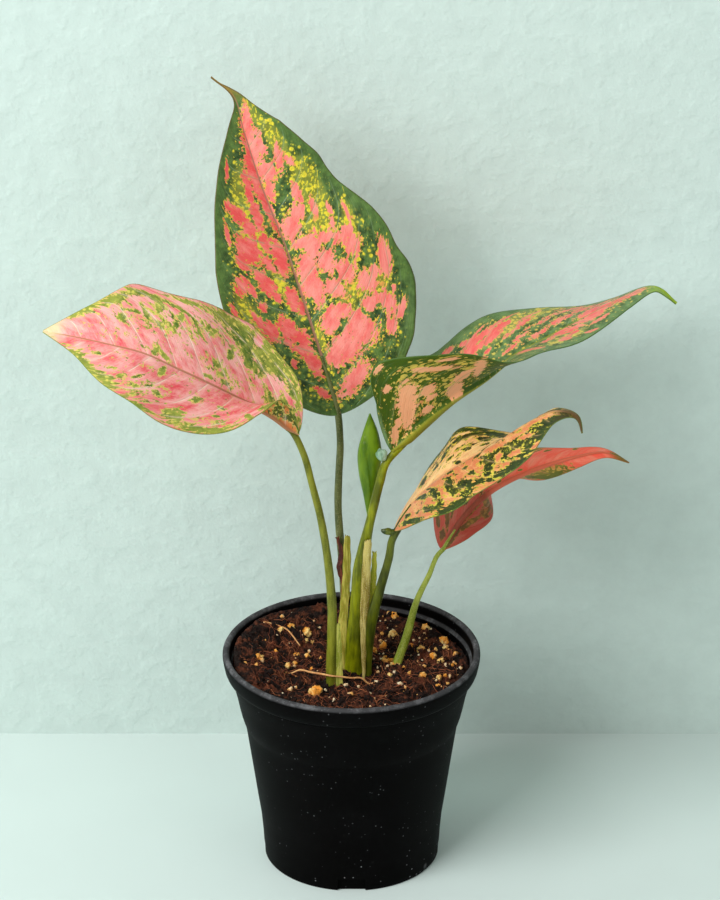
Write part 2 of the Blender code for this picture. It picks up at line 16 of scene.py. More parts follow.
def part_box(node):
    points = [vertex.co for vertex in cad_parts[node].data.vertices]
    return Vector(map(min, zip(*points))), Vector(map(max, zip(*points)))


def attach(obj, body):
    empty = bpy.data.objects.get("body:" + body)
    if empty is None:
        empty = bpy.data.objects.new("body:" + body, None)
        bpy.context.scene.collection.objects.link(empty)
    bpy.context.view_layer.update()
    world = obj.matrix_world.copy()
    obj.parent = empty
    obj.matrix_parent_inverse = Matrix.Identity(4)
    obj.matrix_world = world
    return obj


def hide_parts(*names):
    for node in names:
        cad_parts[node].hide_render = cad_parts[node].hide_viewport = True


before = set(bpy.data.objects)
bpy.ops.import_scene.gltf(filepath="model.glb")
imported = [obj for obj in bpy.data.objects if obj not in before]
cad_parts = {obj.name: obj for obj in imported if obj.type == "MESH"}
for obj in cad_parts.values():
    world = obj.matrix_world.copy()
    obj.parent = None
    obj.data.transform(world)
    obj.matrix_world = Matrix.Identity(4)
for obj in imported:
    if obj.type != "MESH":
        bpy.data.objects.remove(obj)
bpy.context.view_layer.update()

bl_info = {
    "name": "Potted Chinese Evergreen",
    "version": (1, 0, 0),
    "blender": (4, 5, 0),
    "location": "View3D > Sidebar > Evergreen",
    "description": "Builds a pink and green Aglaonema in a black nursery pot, on a pale stage",
    "category": "Add Mesh",
}

MM = 0.001
WELD = 0.000002              # m, how near points are joined
LEAF_SPAN = 200.0            # mm of blade that its UV map spans


# ---------------------------------------------------------------- settings
def colour_property(name, description, red, green, blue):
    return FloatVectorProperty(name=name, description=description, subtype="COLOR", size=3, min=0.0, max=1.0,
                               default=(red, green, blue))


def share_property(name, description, default):
    return FloatProperty(name=name, description=description, default=default, min=0.0, max=1.0,
                         subtype="FACTOR")


def count_property(name, description, default, low, high):
    return IntProperty(name=name, description=description, default=default, min=low, max=high)


class LeafSettings(bpy.types.PropertyGroup):
    """Sizes and finish that all leaf blades share."""
    thickness: FloatProperty(name="Thickness", description="Thickness of a blade between its veins",
                             default=0.00045, min=0.0002, max=0.002, unit="LENGTH")
    vein_depth: FloatProperty(name="Vein depth", description="How deep the side veins lie in the upper face",
                              default=0.00022, min=0.0, max=0.001, unit="LENGTH")
    gloss: share_property("Roughness", "Roughness of the leaf skin", 0.42)
    rows: count_property("Rows", "Faces along a blade", 210, 20, 400)
    columns: count_property("Columns", "Faces across a blade", 92, 8, 200)


class StalkSettings(bpy.types.PropertyGroup):
    """Sizes and finish of the stalks."""
    sides: count_property("Sides", "Faces round a stalk", 36, 8, 96)
    gloss: share_property("Roughness", "Roughness of the stalk skin", 0.38)


class PotSettings(bpy.types.PropertyGroup):
    """Colour and wear of the pot."""
    plastic: colour_property("Plastic", "Colour of the moulded plastic", 0.0012, 0.0010, 0.0010)
    scuff: colour_property("Scuff", "Colour of scuffs and dust", 0.20, 0.20, 0.21)
    segments: count_property("Segments", "Faces round the pot", 224, 24, 512)
    grain: share_property("Grain", "Strength of the moulded grain", 0.25)


class MixSettings(bpy.types.PropertyGroup):
    """What lies in and on the potting mix."""
    crumbs: count_property("Crumbs", "Loose crumbs of peat and bark", 900, 0, 3000)
    fibres: count_property("Fibres", "Loose coir fibres", 420, 0, 1500)
    small_grains: count_property("Small perlite", "Small grains of perlite", 190, 0, 600)
    peat: colour_property("Peat", "Colour of damp peat", 0.009, 0.0034, 0.0022)
    coir: colour_property("Coir", "Colour of dry coir", 0.150, 0.042, 0.018)
    seed: count_property("Seed", "Seed of the scatter", 7, 0, 9999)


class StageSettings(bpy.types.PropertyGroup):
    """Backdrop and lights."""
    floor: colour_property("Floor", "Colour of the floor", 0.66, 0.765, 0.735)
    wall: colour_property("Wall", "Colour of the wall", 0.585, 0.695, 0.655)
    key_power: FloatProperty(name="Key", description="Power of the main softbox", default=50.0, min=0.0,
                             unit="POWER")
    fill_power: FloatProperty(name="Fill", description="Power of the fill light", default=6.0, min=0.0,
                              unit="POWER")
    sky: FloatProperty(name="Sky", description="Strength of the even light all round", default=0.31, min=0.0)


# ---------------------------------------------------------------- smooth curves
CURVE_POINTS = 401           # places worked out along a curve


def smooth_values(values, fractions):
    """Catmull-Rom curve through equally spaced values, read at fractions 0 to 1."""
    knots = np.array(values, float)
    knots = np.concatenate([[2 * knots[0] - knots[1]], knots, [2 * knots[-1] - knots[-2]]])
    spans = len(values) - 1
    place = np.clip(fractions, 0, 1) * spans
    first = np.minimum(place.astype(int), spans - 1)
    t = place - first
    a, b, c, d = (knots[first + offset] for offset in range(4))
    return 0.5 * (2 * b + (c - a) * t + (2 * a - 5 * b + 4 * c - d) * t**2 + (3 * b - a - 3 * c + d) * t**3)


def smooth_path(points, fractions):
    """Places and directions at fractions of the length of a smooth curve through points."""
    knots = np.array(points, float)
    gaps = np.sqrt(np.linalg.norm(np.diff(knots, axis=0), axis=1))
    marks = np.concatenate([[-gaps[0]], [0], np.cumsum(gaps), [gaps.sum() + gaps[-1]]])
    knots = np.vstack([2 * knots[0] - knots[1], knots, 2 * knots[-1] - knots[-2]])
    s = np.linspace(0, gaps.sum(), CURVE_POINTS)
    first = np.clip(np.searchsorted(marks[1:-1], s, side="right") - 1, 0, len(gaps) - 1)
    m0, m1, m2, m3 = (marks[first + offset][:, None] for offset in range(4))
    p0, p1, p2, p3 = (knots[first + offset] for offset in range(4))
    s = s[:, None]
    a1 = (p0 * (m1 - s) + p1 * (s - m0)) / (m1 - m0)
    a2 = (p1 * (m2 - s) + p2 * (s - m1)) / (m2 - m1)
    a3 = (p2 * (m3 - s) + p3 * (s - m2)) / (m3 - m2)
    b1 = (a1 * (m2 - s) + a2 * (s - m0)) / (m2 - m0)
    b2 = (a2 * (m3 - s) + a3 * (s - m1)) / (m3 - m1)
    curve = (b1 * (m2 - s) + b2 * (s - m1)) / (m2 - m1)
    length = np.concatenate([[0], np.cumsum(np.linalg.norm(np.diff(curve, axis=0), axis=1))])
    slopes = np.gradient(curve, length, axis=0)
    at = np.asarray(fractions) * length[-1]
    places = np.stack([np.interp(at, length, curve[:, axis]) for axis in range(3)], axis=1)
    directions = np.stack([np.interp(at, length, slopes[:, axis]) for axis in range(3)], axis=1)
    return places, directions / np.linalg.norm(directions, axis=1, keepdims=True)


def path_length(points):
    places, _ = smooth_path(points, np.linspace(0, 1, 201))
    return np.linalg.norm(np.diff(places, axis=0), axis=1).sum()


def smooth_step(low, high, value):
    t = np.clip((value - low) / (high - low), 0, 1)
    return t * t * (3 - 2 * t)


# ---------------------------------------------------------------- modelling helpers
def deselect():
    bpy.ops.object.select_all(action="DESELECT")


def activate(piece):
    deselect()
    piece.select_set(True)
    bpy.context.view_layer.objects.active = piece


def newest(name):
    """The object that the last operator added, with its name and its mesh's name set."""
    piece = bpy.context.active_object
    piece.name = piece.data.name = name
    return piece


def sheet(name, points):
    """A grid primitive whose points are moved to the places [row, column, xyz], in metres."""
    rows, columns = points.shape[0] - 1, points.shape[1] - 1
    deselect()
    bpy.ops.mesh.primitive_grid_add(x_subdivisions=columns, y_subdivisions=rows, size=1)
    piece = newest(name)
    piece.data.vertices.foreach_set("co", points.reshape(-1).astype(np.float32))
    piece.data.update()
    return piece


def close_round(piece):
    """Joins a sheet's meeting edges, fills its open ends and points its faces outwards."""
    activate(piece)
    bpy.ops.object.mode_set(mode="EDIT")
    bpy.ops.mesh.select_all(action="SELECT")
    bpy.ops.mesh.remove_doubles(threshold=WELD)
    bpy.ops.mesh.select_all(action="SELECT")
    bpy.ops.mesh.fill_holes(sides=0)
    bpy.ops.mesh.select_all(action="SELECT")
    bpy.ops.mesh.normals_make_consistent(inside=False)
    bpy.ops.object.mode_set(mode="OBJECT")
    bpy.ops.object.shade_smooth()
    return piece


def turned(name, profile, segments):
    """A lathe shape: one vertex extruded along a profile of (radius, height) in mm, then spun round."""
    deselect()
    bpy.ops.mesh.primitive_plane_add(size=MM)
    piece = newest(name)
    bpy.ops.object.mode_set(mode="EDIT")
    bpy.ops.mesh.merge(type="CENTER")
    bpy.ops.transform.translate(value=(profile[0][0] * MM, 0, profile[0][1] * MM))
    for start, end in zip(profile[:-1], profile[1:]):
        step = ((end[0] - start[0]) * MM, 0, (end[1] - start[1]) * MM)
        bpy.ops.mesh.extrude_region_move(TRANSFORM_OT_translate={"value": step})
    bpy.ops.mesh.select_all(action="SELECT")
    bpy.ops.mesh.spin(steps=segments, angle=2 * math.pi, center=(0, 0, 0), axis=(0, 0, 1))
    bpy.ops.object.mode_set(mode="OBJECT")
    return close_round(piece)


def rod_frame(directions):
    """Sideways axes along a path that turn as little as they can."""
    side = np.cross(directions[0], (0, -1, 0.001))
    sides = []
    for forward in directions:
        side = side - forward * (side @ forward)
        side = side / np.linalg.norm(side)
        sides.append(side)
    sides = np.array(sides)
    return sides, np.cross(directions, sides)


def rod(name, points, radii, sides, rows, outline=None):
    """A closed rod along a smooth path. outline(angle, along) scales its radius."""
    along = np.linspace(0, 1, rows + 1)
    places, directions = smooth_path(points, along)
    radius = smooth_values(radii, along)
    side, front = rod_frame(directions)
    angle = np.linspace(0, 2 * math.pi, sides + 1)
    scale = np.ones((rows + 1, sides + 1)) if outline is None else outline(angle[None, :], along[:, None])
    reach = (radius[:, None] * scale)[:, :, None]
    ring = np.cos(angle)[None, :, None] * side[:, None] + np.sin(angle)[None, :, None] * front[:, None]
    rows_of_points = places[:, None] + reach * ring
    return close_round(sheet(name, rows_of_points * MM))


def wires(name, paths, radii):
    """Many thin wires in one mesh. Each path is a list of points in mm, and radii holds one value a point."""
    curve = bpy.data.curves.new(name, "CURVE")
    curve.dimensions = "3D"
    curve.bevel_depth = MM
    curve.bevel_resolution = 1
    curve.use_fill_caps = True
    for path, radius in zip(paths, radii):
        spline = curve.splines.new("POLY")
        spline.points.add(len(path) - 1)
        for point, place, size in zip(spline.points, path, radius):
            point.co = (*(np.array(place) * MM), 1)
            point.radius = size
    piece = bpy.data.objects.new(name, curve)
    bpy.context.scene.collection.objects.link(piece)
    activate(piece)
    bpy.ops.object.convert(target="MESH")
    piece = bpy.context.active_object
    bpy.ops.object.mode_set(mode="EDIT")
    bpy.ops.mesh.select_all(action="SELECT")
    bpy.ops.mesh.remove_doubles(threshold=WELD)
    bpy.ops.object.mode_set(mode="OBJECT")
    bpy.ops.object.shade_smooth()
    return piece


def apply_modifiers(piece):
    activate(piece)
    for modifier in list(piece.modifiers):
        bpy.ops.object.modifier_apply(modifier=modifier.name)


def thicken(piece, thickness, offset, group=""):
    """Gives a sheet its thickness in metres, scaled by a vertex group if one is named."""
    solidify = piece.modifiers.new("thickness", "SOLIDIFY")
    solidify.thickness = thickness
    solidify.offset = offset
    solidify.vertex_group = group
    apply_modifiers(piece)
    piece.vertex_groups.clear()
    bpy.ops.object.shade_smooth()


def finish_piece(piece, surface, nodes):
    """Gives a piece its material, and hands it to the frame in place of its CAD nodes."""
    piece.data.materials.clear()
    piece.data.materials.append(surface)
    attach(piece, "root")
    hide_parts(*nodes)
    return piece


# ---------------------------------------------------------------- shader helpers
class Graph:
    """Short ways to add nodes to a tree. Sockets and plain values can both be passed."""

    def __init__(self, tree):
        self.tree = tree

    def add(self, kind, fed=None, **settings):
        """A new node with its settings, and with values or links on the sockets that fed names."""
        made = self.tree.nodes.new(kind)
        for name, value in settings.items():
            setattr(made, name, value)
        for socket, value in (fed or {}).items():
            self.feed(made.inputs[socket], value)
        return made

    def feed(self, socket, value):
        if isinstance(value, bpy.types.NodeSocket):
            self.tree.links.new(value, socket)
        elif isinstance(value, tuple) and len(value) == 3 and socket.type == "RGBA":
            socket.default_value = (*value, 1.0)
        else:
            socket.default_value = value

    def math(self, operation, first, second=0.0, clamp=False):
        made = self.add("ShaderNodeMath", {0: first, 1: second}, operation=operation, use_clamp=clamp)
        return made.outputs[0]

    def chain(self, operation, values, clamp=False):
        """One operation over all values in turn, and a clamp to 0 to 1 at the end if asked."""
        result = values[0]
        for value in values[1:-1]:
            result = self.math(operation, result, value)
        return self.math(operation, result, values[-1], clamp)

    def times(self, *values):
        return self.chain("MULTIPLY", values)

    def plus(self, *values, clamp=False):
        return self.chain("ADD", values, clamp)

    def larger(self, *values):
        return self.chain("MAXIMUM", values)

    def minus(self, first, second):
        return self.math("SUBTRACT", first, second)

    def inverse(self, value):
        return self.minus(1.0, value)

    def swing(self, value, reach):
        """A value that lies round 0.5, moved to lie round 0 and multiplied by reach."""
        return self.times(self.minus(value, 0.5), reach)

    def fold(self, value):
        """0.5 where a value is whole, and 0 halfway between."""
        return self.math("ABSOLUTE", self.minus(self.math("FRACT", value), 0.5))

    def vector(self, operation, first, second):
        return self.add("ShaderNodeVectorMath", {0: first, 1: second}, operation=operation).outputs["Vector"]

    def mix(self, share, first, second):
        return self.add("ShaderNodeMix", {"Factor": share, 6: first, 7: second}, data_type="RGBA").outputs[2]

    def step(self, value, low, high):
        """0 below low and 1 above high, with a soft rise between."""
        return self.add("ShaderNodeMapRange", {0: value, 1: low, 2: high, 3: 0.0, 4: 1.0},
                        interpolation_type="SMOOTHSTEP").outputs[0]

    def noise(self, place, scale, detail=3.0, roughness=0.55, distortion=0.0):
        return self.add("ShaderNodeTexNoise", {"Vector": place, "Scale": scale, "Detail": detail,
                                               "Roughness": roughness, "Distortion": distortion}).outputs[0]

    def cells(self, place, scale):
        return self.add("ShaderNodeTexVoronoi", {"Vector": place, "Scale": scale}).outputs

    def place(self, *stretch):
        """The place on the piece, stretched along each axis if asked."""
        place = self.add("ShaderNodeTexCoord").outputs["Object"]
        return self.vector("MULTIPLY", place, stretch) if stretch else place

    def join(self, x, y, z):
        return self.add("ShaderNodeCombineXYZ", {0: x, 1: y, 2: z}).outputs[0]

    def split(self, value):
        return self.add("ShaderNodeSeparateXYZ", {0: value}).outputs

    def attribute(self, name):
        return self.add("ShaderNodeAttribute", attribute_name=name).outputs["Fac"]

    def give(self, colour, roughness, height):
        """Ends a pattern group with what it puts out."""
        self.add("NodeGroupOutput", {"Color": colour, "Roughness": roughness, "Height": height})
        return self.tree


def start_pattern(name, inputs):
    """A new node group that puts out a colour, a roughness and a height. Gives its graph and its inputs."""
    tree = bpy.data.node_groups.new(name, "ShaderNodeTree")
    for label, value in inputs.items():
        kind = "NodeSocketColor" if isinstance(value, tuple) else "NodeSocketFloat"
        socket = tree.interface.new_socket(name=label, in_out="INPUT", socket_type=kind)
        socket.default_value = (*value, 1.0) if isinstance(value, tuple) else value
    for label in ("Color", "Roughness", "Height"):
        kind = "NodeSocketColor" if label == "Color" else "NodeSocketFloat"
        tree.interface.new_socket(name=label, in_out="OUTPUT", socket_type=kind)
    graph = Graph(tree)
    return graph, graph.add("NodeGroupInput").outputs


def new_material(name, roughness=0.5, **sockets):
    """A material, its graph and its shader. Socket names have _ for their spaces."""
    surface = bpy.data.materials.new(name)
    surface.use_nodes = True
    graph = Graph(surface.node_tree)
    shader = surface.node_tree.nodes["Principled BSDF"]
    graph.feed(shader.inputs["Roughness"], roughness)
    for label, value in sockets.items():
        graph.feed(shader.inputs[label.replace("_", " ")], value)
    return surface, graph, shader


def add_bump(graph, shader, height, strength, distance):
    bump = graph.add("ShaderNodeBump", {"Height": height, "Strength": strength, "Distance": distance})
    graph.feed(shader.inputs["Normal"], bump.outputs[0])


def lay_pattern(material, build, values, roughness, strength, distance):
    """Lays a pattern on a material: its colour, its roughness added to the given one, and its bump.
    The pattern's group is built the first time that it is asked for."""
    surface, graph, shader = material
    name = build.__name__.replace("build_", "")
    group = bpy.data.node_groups.get(name) or build(name)
    out = graph.add("ShaderNodeGroup", values, node_tree=group).outputs
    graph.feed(shader.inputs["Base Color"], out["Color"])
    graph.feed(shader.inputs["Roughness"], graph.plus(out["Roughness"], roughness, clamp=True))
    add_bump(graph, shader, out["Height"], strength, distance)
    return surface


# ---------------------------------------------------------------- leaf blades
@dataclass
class Half:
    """One half of a blade, from its midrib to its margin; values equally spaced, base to tip."""
    width: tuple             # mm, measured over the surface
    rise: tuple              # degrees that the half leaves the midrib above level
    curl: tuple = (0, 0)     # degrees that it bends on from midrib to margin
    sweep: tuple = (0, 0)    # mm that the margin runs ahead of the midrib
    ripple: tuple = (0, 1, 0)    # margin wave: mm, waves, phase
    wave: tuple = (0, 1, 0)      # waving of the margin out of the surface: mm, waves, phase


@dataclass
class Markings:
    """Where a blade's colours lie. A mark is (along, across, half length, half width, turn), in mm and
    degrees; across is below 0 on the left half, and a mark without a turn has none."""
    ground: float            # -1 where the blade is green between its patches, above 0 where it is pink
    patches: tuple
    gaps: tuple = ()         # green places in the pink
    islands: tuple = ()      # pink places in those gaps
    worn: tuple = ()         # wide soft places that hold more green
    flecks: tuple = ()       # where yellow flecks crowd
    fleck_base: float = 0.25     # how many flecks lie elsewhere
    fleck_peak: float = 1.15     # and where they crowd
    clean_margin: float = 0.5    # mm in from the margin that flecks keep clear of


@dataclass
class Skin:
    """Colours of a blade."""
    deep: tuple              # the darker green
    green: tuple
    patch: tuple             # the deeper pink
    patch_pale: tuple
    fleck: tuple
    amber: tuple             # flecks and fringes next to the pink
    vein: tuple
    midrib: tuple
    rim: tuple
    # Underside colours: the blade's own underside, drawn brighter as painted light that shines through the
    # thin blade.
    under_green: tuple
    under_patch: tuple
    tip: tuple
    tip_from: float          # mm along, where the tip's colour begins
    vein_show: float         # how clearly the side veins show
    pale: float              # share of the paler pink
    pale_right: float = 0.0      # how much more of it there is on the right half; partly painted light on the left blade's far half, and, below 0, painted shade on the front right blade's near half
    halo: float = 0.16           # width of the yellow fringe round the pink
    torn: float = 1.0            # how ragged the patches are
    # base colours the blade up to base_to mm along; on the low right blade it is partly its own dull red and
    # partly painted shadow of the front right blade.
    base: tuple = (0.1, 0.03, 0.02)
    base_to: float = -20         # mm along, where the darker base colour ends


@dataclass
class Strip:
    """A curved sheet: a middle line in space, the way its upper side faces, and two halves."""
    midrib: tuple
    face: tuple
    left: Half
    right: Half
    round: float             # share of the length over which its base is rounded


@dataclass
class Blade(Strip):
    """A leaf blade, with its veins, markings and colours."""
    rib: float               # mm, thickness of the midrib at the base
    vein_lean: float         # mm along the midrib that a side vein gains for each mm outwards
    vein_pitch: float        # mm between side veins
    vein_start: tuple        # share of a pitch that the left and right veins are moved by
    markings: Markings
    skin: Skin


def srgb(*colour):
    """A colour given as red, green and blue screen values, 0 to 255, as linear light."""
    return tuple(((c / 255 + 0.055) / 1.055) ** 2.4 if c > 10 else c / 255 / 12.92 for c in colour)


LEAF_TALL = Blade(
    midrib=((-6, 28, 232), (-15, 34, 262), (-24, 42, 289), (-33, 50, 315), (-44, 58, 342),
            (-53, 66, 369), (-58, 71, 385), (-69, 74, 394)),
    face=(0.0, -0.93, 0.37),
    left=Half(width=(14, 19, 23, 28, 33, 37, 40, 41, 41, 40.2, 38.6, 35.6, 32, 28, 23.4, 18.7, 12.8, 6.5,
                     1.4, 0.4, 0.3),
              rise=(10, 12, 14, 16, 18, 20, 20), curl=(0, 5, 10, 10, 10, 10, 0)),
    right=Half(width=(24, 33, 40.5, 46.8, 49.5, 52.6, 56.2, 57, 53.8, 50.9, 46.4, 41.2, 37.4, 35.4, 32.6, 26,
                      20, 14.7, 6.6, 1.3, 0.3),
               rise=(10, 10, 10, 10, 12, 15, 15), curl=(-10, -10, -15, -15, -10, 0, 0),
               ripple=(1.6, 3.6, 0.42), wave=(2.5, 2.5, 0.1)),
    round=0.1, rib=2.4, vein_lean=0.72, vein_pitch=18.5, vein_start=(-0.72, -0.65),
    markings=Markings(
        ground=-1.0,
        patches=((13.5, -5, 5.5, 1.9, -38), (30, -5, 8, 3.2, -12), (41, -8, 8, 5, -15), (50, -12, 7, 4, -22),
                 (43, -14, 4, 1.6, -20), (32, -14.5, 2.4, 1.4), (51, -21, 5.5, 4, -25), (57, -25, 4, 2, -20),
                 (61, -26.5, 4, 1.3, -5), (64, -21, 2.7, 2.1), (63, -5, 7, 3, -5), (57, -2, 4, 1.8),
                 (66, -12.5, 4, 1.8, -15), (75, -16, 9.5, 3.2, -22), (78, -28, 5.5, 3.8),
                 (73, -23.5, 4, 1.5, -15), (67, -36, 5.5, 1.3, -10), (85, -4.5, 10, 3.6),
                 (84, -11.5, 6, 2, -20), (94, -18, 9, 6.5, -5), (90, -24, 6, 3, -10), (94, -9.5, 5.5, 3),
                 (104, -14, 4.5, 3.2), (112, -17, 7, 3.4, -30), (118, -20.5, 3.2, 1.8),
                 (106, -26, 6.5, 1.2, 8), (109, -8, 9, 2.5, 5), (122, -7, 11, 2.2, 5), (111, -1, 15, 2.2),
                 (128, -2, 13, 2.8), (141, 1, 13, 4.2, 3), (152, 2.5, 9, 2.6, 5), (134, -15, 5.5, 1.0, 20),
                 (16, 13, 11, 4.5, 52), (29, 7, 6, 4.5), (33, 14, 8, 8), (38, 23, 7, 8.5, 40),
                 (47, 10, 7, 5, 20), (50, 17, 4, 5), (45, 23, 4, 4), (49, 31, 3.4, 3.8), (36, 38, 4.3, 2.7),
                 (47, 40, 7.5, 3.6, -10), (51, 36, 2.5, 3), (42, 45.5, 5.5, 1.7, 35), (60, 33, 5.5, 4.8),
                 (64, 38, 3, 3), (69, 45, 9.5, 3, 8), (53, 45, 2.2, 1.2), (65, 7, 9.5, 6.5, 10),
                 (75, 7, 7, 6), (62, 16, 4.5, 6.5, 50), (68, 24, 5.5, 6, 40), (76, 17, 5.5, 5),
                 (84, 13, 8, 3.6, 30), (86, 22, 3.4, 10, 15), (80, 32, 5.5, 4.2, 10), (86, 31, 3.4, 4),
                 (88, 8, 3, 5.5), (97, 6, 6.5, 4.6, 30), (103, 12, 4.5, 4, 40), (112, 15, 5.5, 2.4),
                 (102, 20, 4.5, 1.8), (92, 26, 3.2, 1.5), (98, 27, 3, 1.3), (95, 34.5, 5.5, 1.0, -5),
                 (117, 3, 6, 2.4, 10), (127, 5, 5.5, 5), (132, 12.5, 8, 2.0, 10), (129, 17, 3.2, 1.8, -20),
                 (141, 6, 8, 2.6)),
        gaps=((41.5, 13, 1.4, 4, -30), (45, 16, 1.6, 1.8), (69, 13.5, 1.5, 2.6), (68, 19.5, 3, 1.1),
              (83, 21, 1.2, 4, -35), (133, 7, 2.4, 1.5), (143, 8.5, 3.5, 1.1), (41, -9.5, 1.2, 0.9),
              (94, -12.5, 4, 0.8, -10), (58, 3, 3, 2.5)),
        flecks=((112, 22, 26, 9, -4), (140, 14, 18, 6, -12), (155, 8, 14, 3.5, -20), (58, 27, 8, 8),
                (57, 38, 6, 8), (40, 2.5, 14, 2.6), (52, 20, 7, 7), (92, 20, 10, 12), (70, -8, 16, 4, -15),
                (97, -14, 14, 10), (60, -28, 24, 6, -15), (120, -12, 20, 7, 15), (85, 33, 20, 5, 10)),
        fleck_base=0.62, clean_margin=9),
    skin=Skin(deep=srgb(30, 58, 18), green=srgb(94, 126, 58), patch=srgb(232, 82, 80),
              patch_pale=srgb(244, 146, 134), fleck=srgb(232, 214, 50), amber=srgb(238, 154, 84),
              vein=srgb(140, 166, 120), midrib=srgb(158, 110, 88), rim=srgb(104, 84, 48),
              under_green=srgb(60, 84, 22), under_patch=srgb(226, 128, 96), vein_show=0.42, pale=0.2,
              pale_right=0.5, tip=srgb(150, 122, 44), tip_from=167))

LEAF_LEFT = Blade(
    midrib=((-26, -8, 238), (-40, -12, 251), (-55, -19, 263), (-69, -26, 274), (-84, -31, 284),
            (-99, -34, 293), (-115, -35, 298), (-131, -33, 301), (-148, -30, 303)),
    face=(0.1, -0.55, 0.83),
    left=Half(width=(6, 10.5, 20, 31, 35, 33, 26, 11, 0.5),
              rise=(90, 105, 48, 15, 5, 5, 5, 5, 5)),
    right=Half(width=(12, 26, 39, 40, 38.6, 36, 33.6, 17, 0.5),
               rise=(30, 20, 15, 15, 15, 10, 10, 10, 10), curl=(0, -5, -10, -10, -10, 0, 0)),
    round=0.12, rib=2.0, vein_lean=0.8, vein_pitch=16.5, vein_start=(0.45, 0.3),
    markings=Markings(
        ground=0.50, patches=(),
        worn=((10, 2, 18, 16), (92, 20, 34, 11, -6), (60, -27, 30, 5, -6), (52, 8, 18, 7, 15),
              (28, 22, 22, 16, 20), (105, -22, 24, 8, 25), (90, -18, 14, 6, -20), (60, 28, 20, 7)),
        islands=((8, -1, 4.5, 2.4), (14, 3, 3, 4), (23, 14, 6, 4), (34, 33, 2.4, 3), (28, -8, 8, 2.5, -35),
                 (12, 11, 4, 1.6, 30)),
        gaps=((8, 0, 10, 8), (14, 12, 9, 9), (21, 12, 5, 11), (26, 24, 14, 8, 30), (33, 28, 26, 9, 14),
              (23, 19, 12, 8, 30), (54, 35, 20, 3.4, 2), (38, 21, 5, 5, 40), (5, -4, 6, 3.4, -20),
              (11, -8, 5, 2, -40), (21, -6, 9, 4, -40), (31, -15, 8, 3, -50), (20, 21, 6, 3, 40),
              (33, 19, 2, 6), (45, 35, 14, 3.6, 4), (55, 37.5, 14, 2), (49, 4, 3.4, 1.6), (52, 8, 2, 2.2),
              (57, 11, 3.4, 2.6, 20), (49, 19, 2.4, 3), (62, 26, 2.4, 1.8), (60, 3, 3, 1.2),
              (70, 22, 10, 0.8, 40), (86, 30, 13, 1.1, 8), (83, 26, 3, 2, 40), (84.5, 21, 1.6, 3.4),
              (92, 17, 3.4, 2.2, 30), (94, 26, 2, 4), (86, 3, 4.5, 1.6, 20), (91, 4, 1.8, 3),
              (110, 15, 3, 2.2), (106, 20, 9, 0.9, -4), (98, 20, 4, 1.8, 50), (102, 31, 13, 1.6),
              (115, 25, 11, 3, -28), (129, 15, 11, 3, -38), (80, 35, 14, 1.4, -4), (120, 20, 4, 1.2, -20),
              (24, -15, 9, 2, -45), (33, -13, 8, 1.4, -55), (20, -5, 1.6, 6), (62, -31, 15, 2.5, -8),
              (77, -28, 5.5, 4), (74, -24, 4, 1), (97, -31, 12, 1.6, 5), (111, -22, 6, 4, 35),
              (123, -14, 13, 3, 38), (66, -14, 4.5, 1.8, -40), (86, -20, 3.4, 1.6), (54, -15, 2.4, 1.5),
              (97, -14.5, 4.5, 0.9, -30), (85, -6, 1.8, 4.4, 20), (117, -7, 2, 1.2), (43, -21, 1.4, 3.4),
              (57, -21, 1.8, 1.2), (103, -24, 2.4, 1.0)),
        flecks=((28, 27, 20, 10, 35), (55, 36, 36, 4, -4), (115, 24, 22, 8, -28), (90, 18, 16, 10, 40),
                (118, -18, 22, 7, 38), (78, -28, 10, 6), (86, 4, 8, 5), (52, 8, 9, 7, 20), (12, 2, 14, 9)),
        fleck_base=0.16, fleck_peak=0.8),
    # Partly painted light: pale_right above 0 lays more of the paler pink on the right half, the far half
    # that faces up towards the light.
    skin=Skin(deep=srgb(78, 110, 30), green=srgb(160, 168, 66), patch=srgb(234, 80, 90),
              patch_pale=srgb(255, 184, 176), fleck=srgb(230, 216, 104), amber=srgb(240, 196, 120),
              vein=srgb(250, 220, 198), midrib=srgb(186, 124, 88), rim=srgb(120, 140, 52),
              under_green=srgb(84, 90, 12), under_patch=srgb(232, 134, 44), halo=0.36, vein_show=0.72,
              pale=0.5, pale_right=0.2, torn=1.3, tip=srgb(236, 222, 170), tip_from=138))

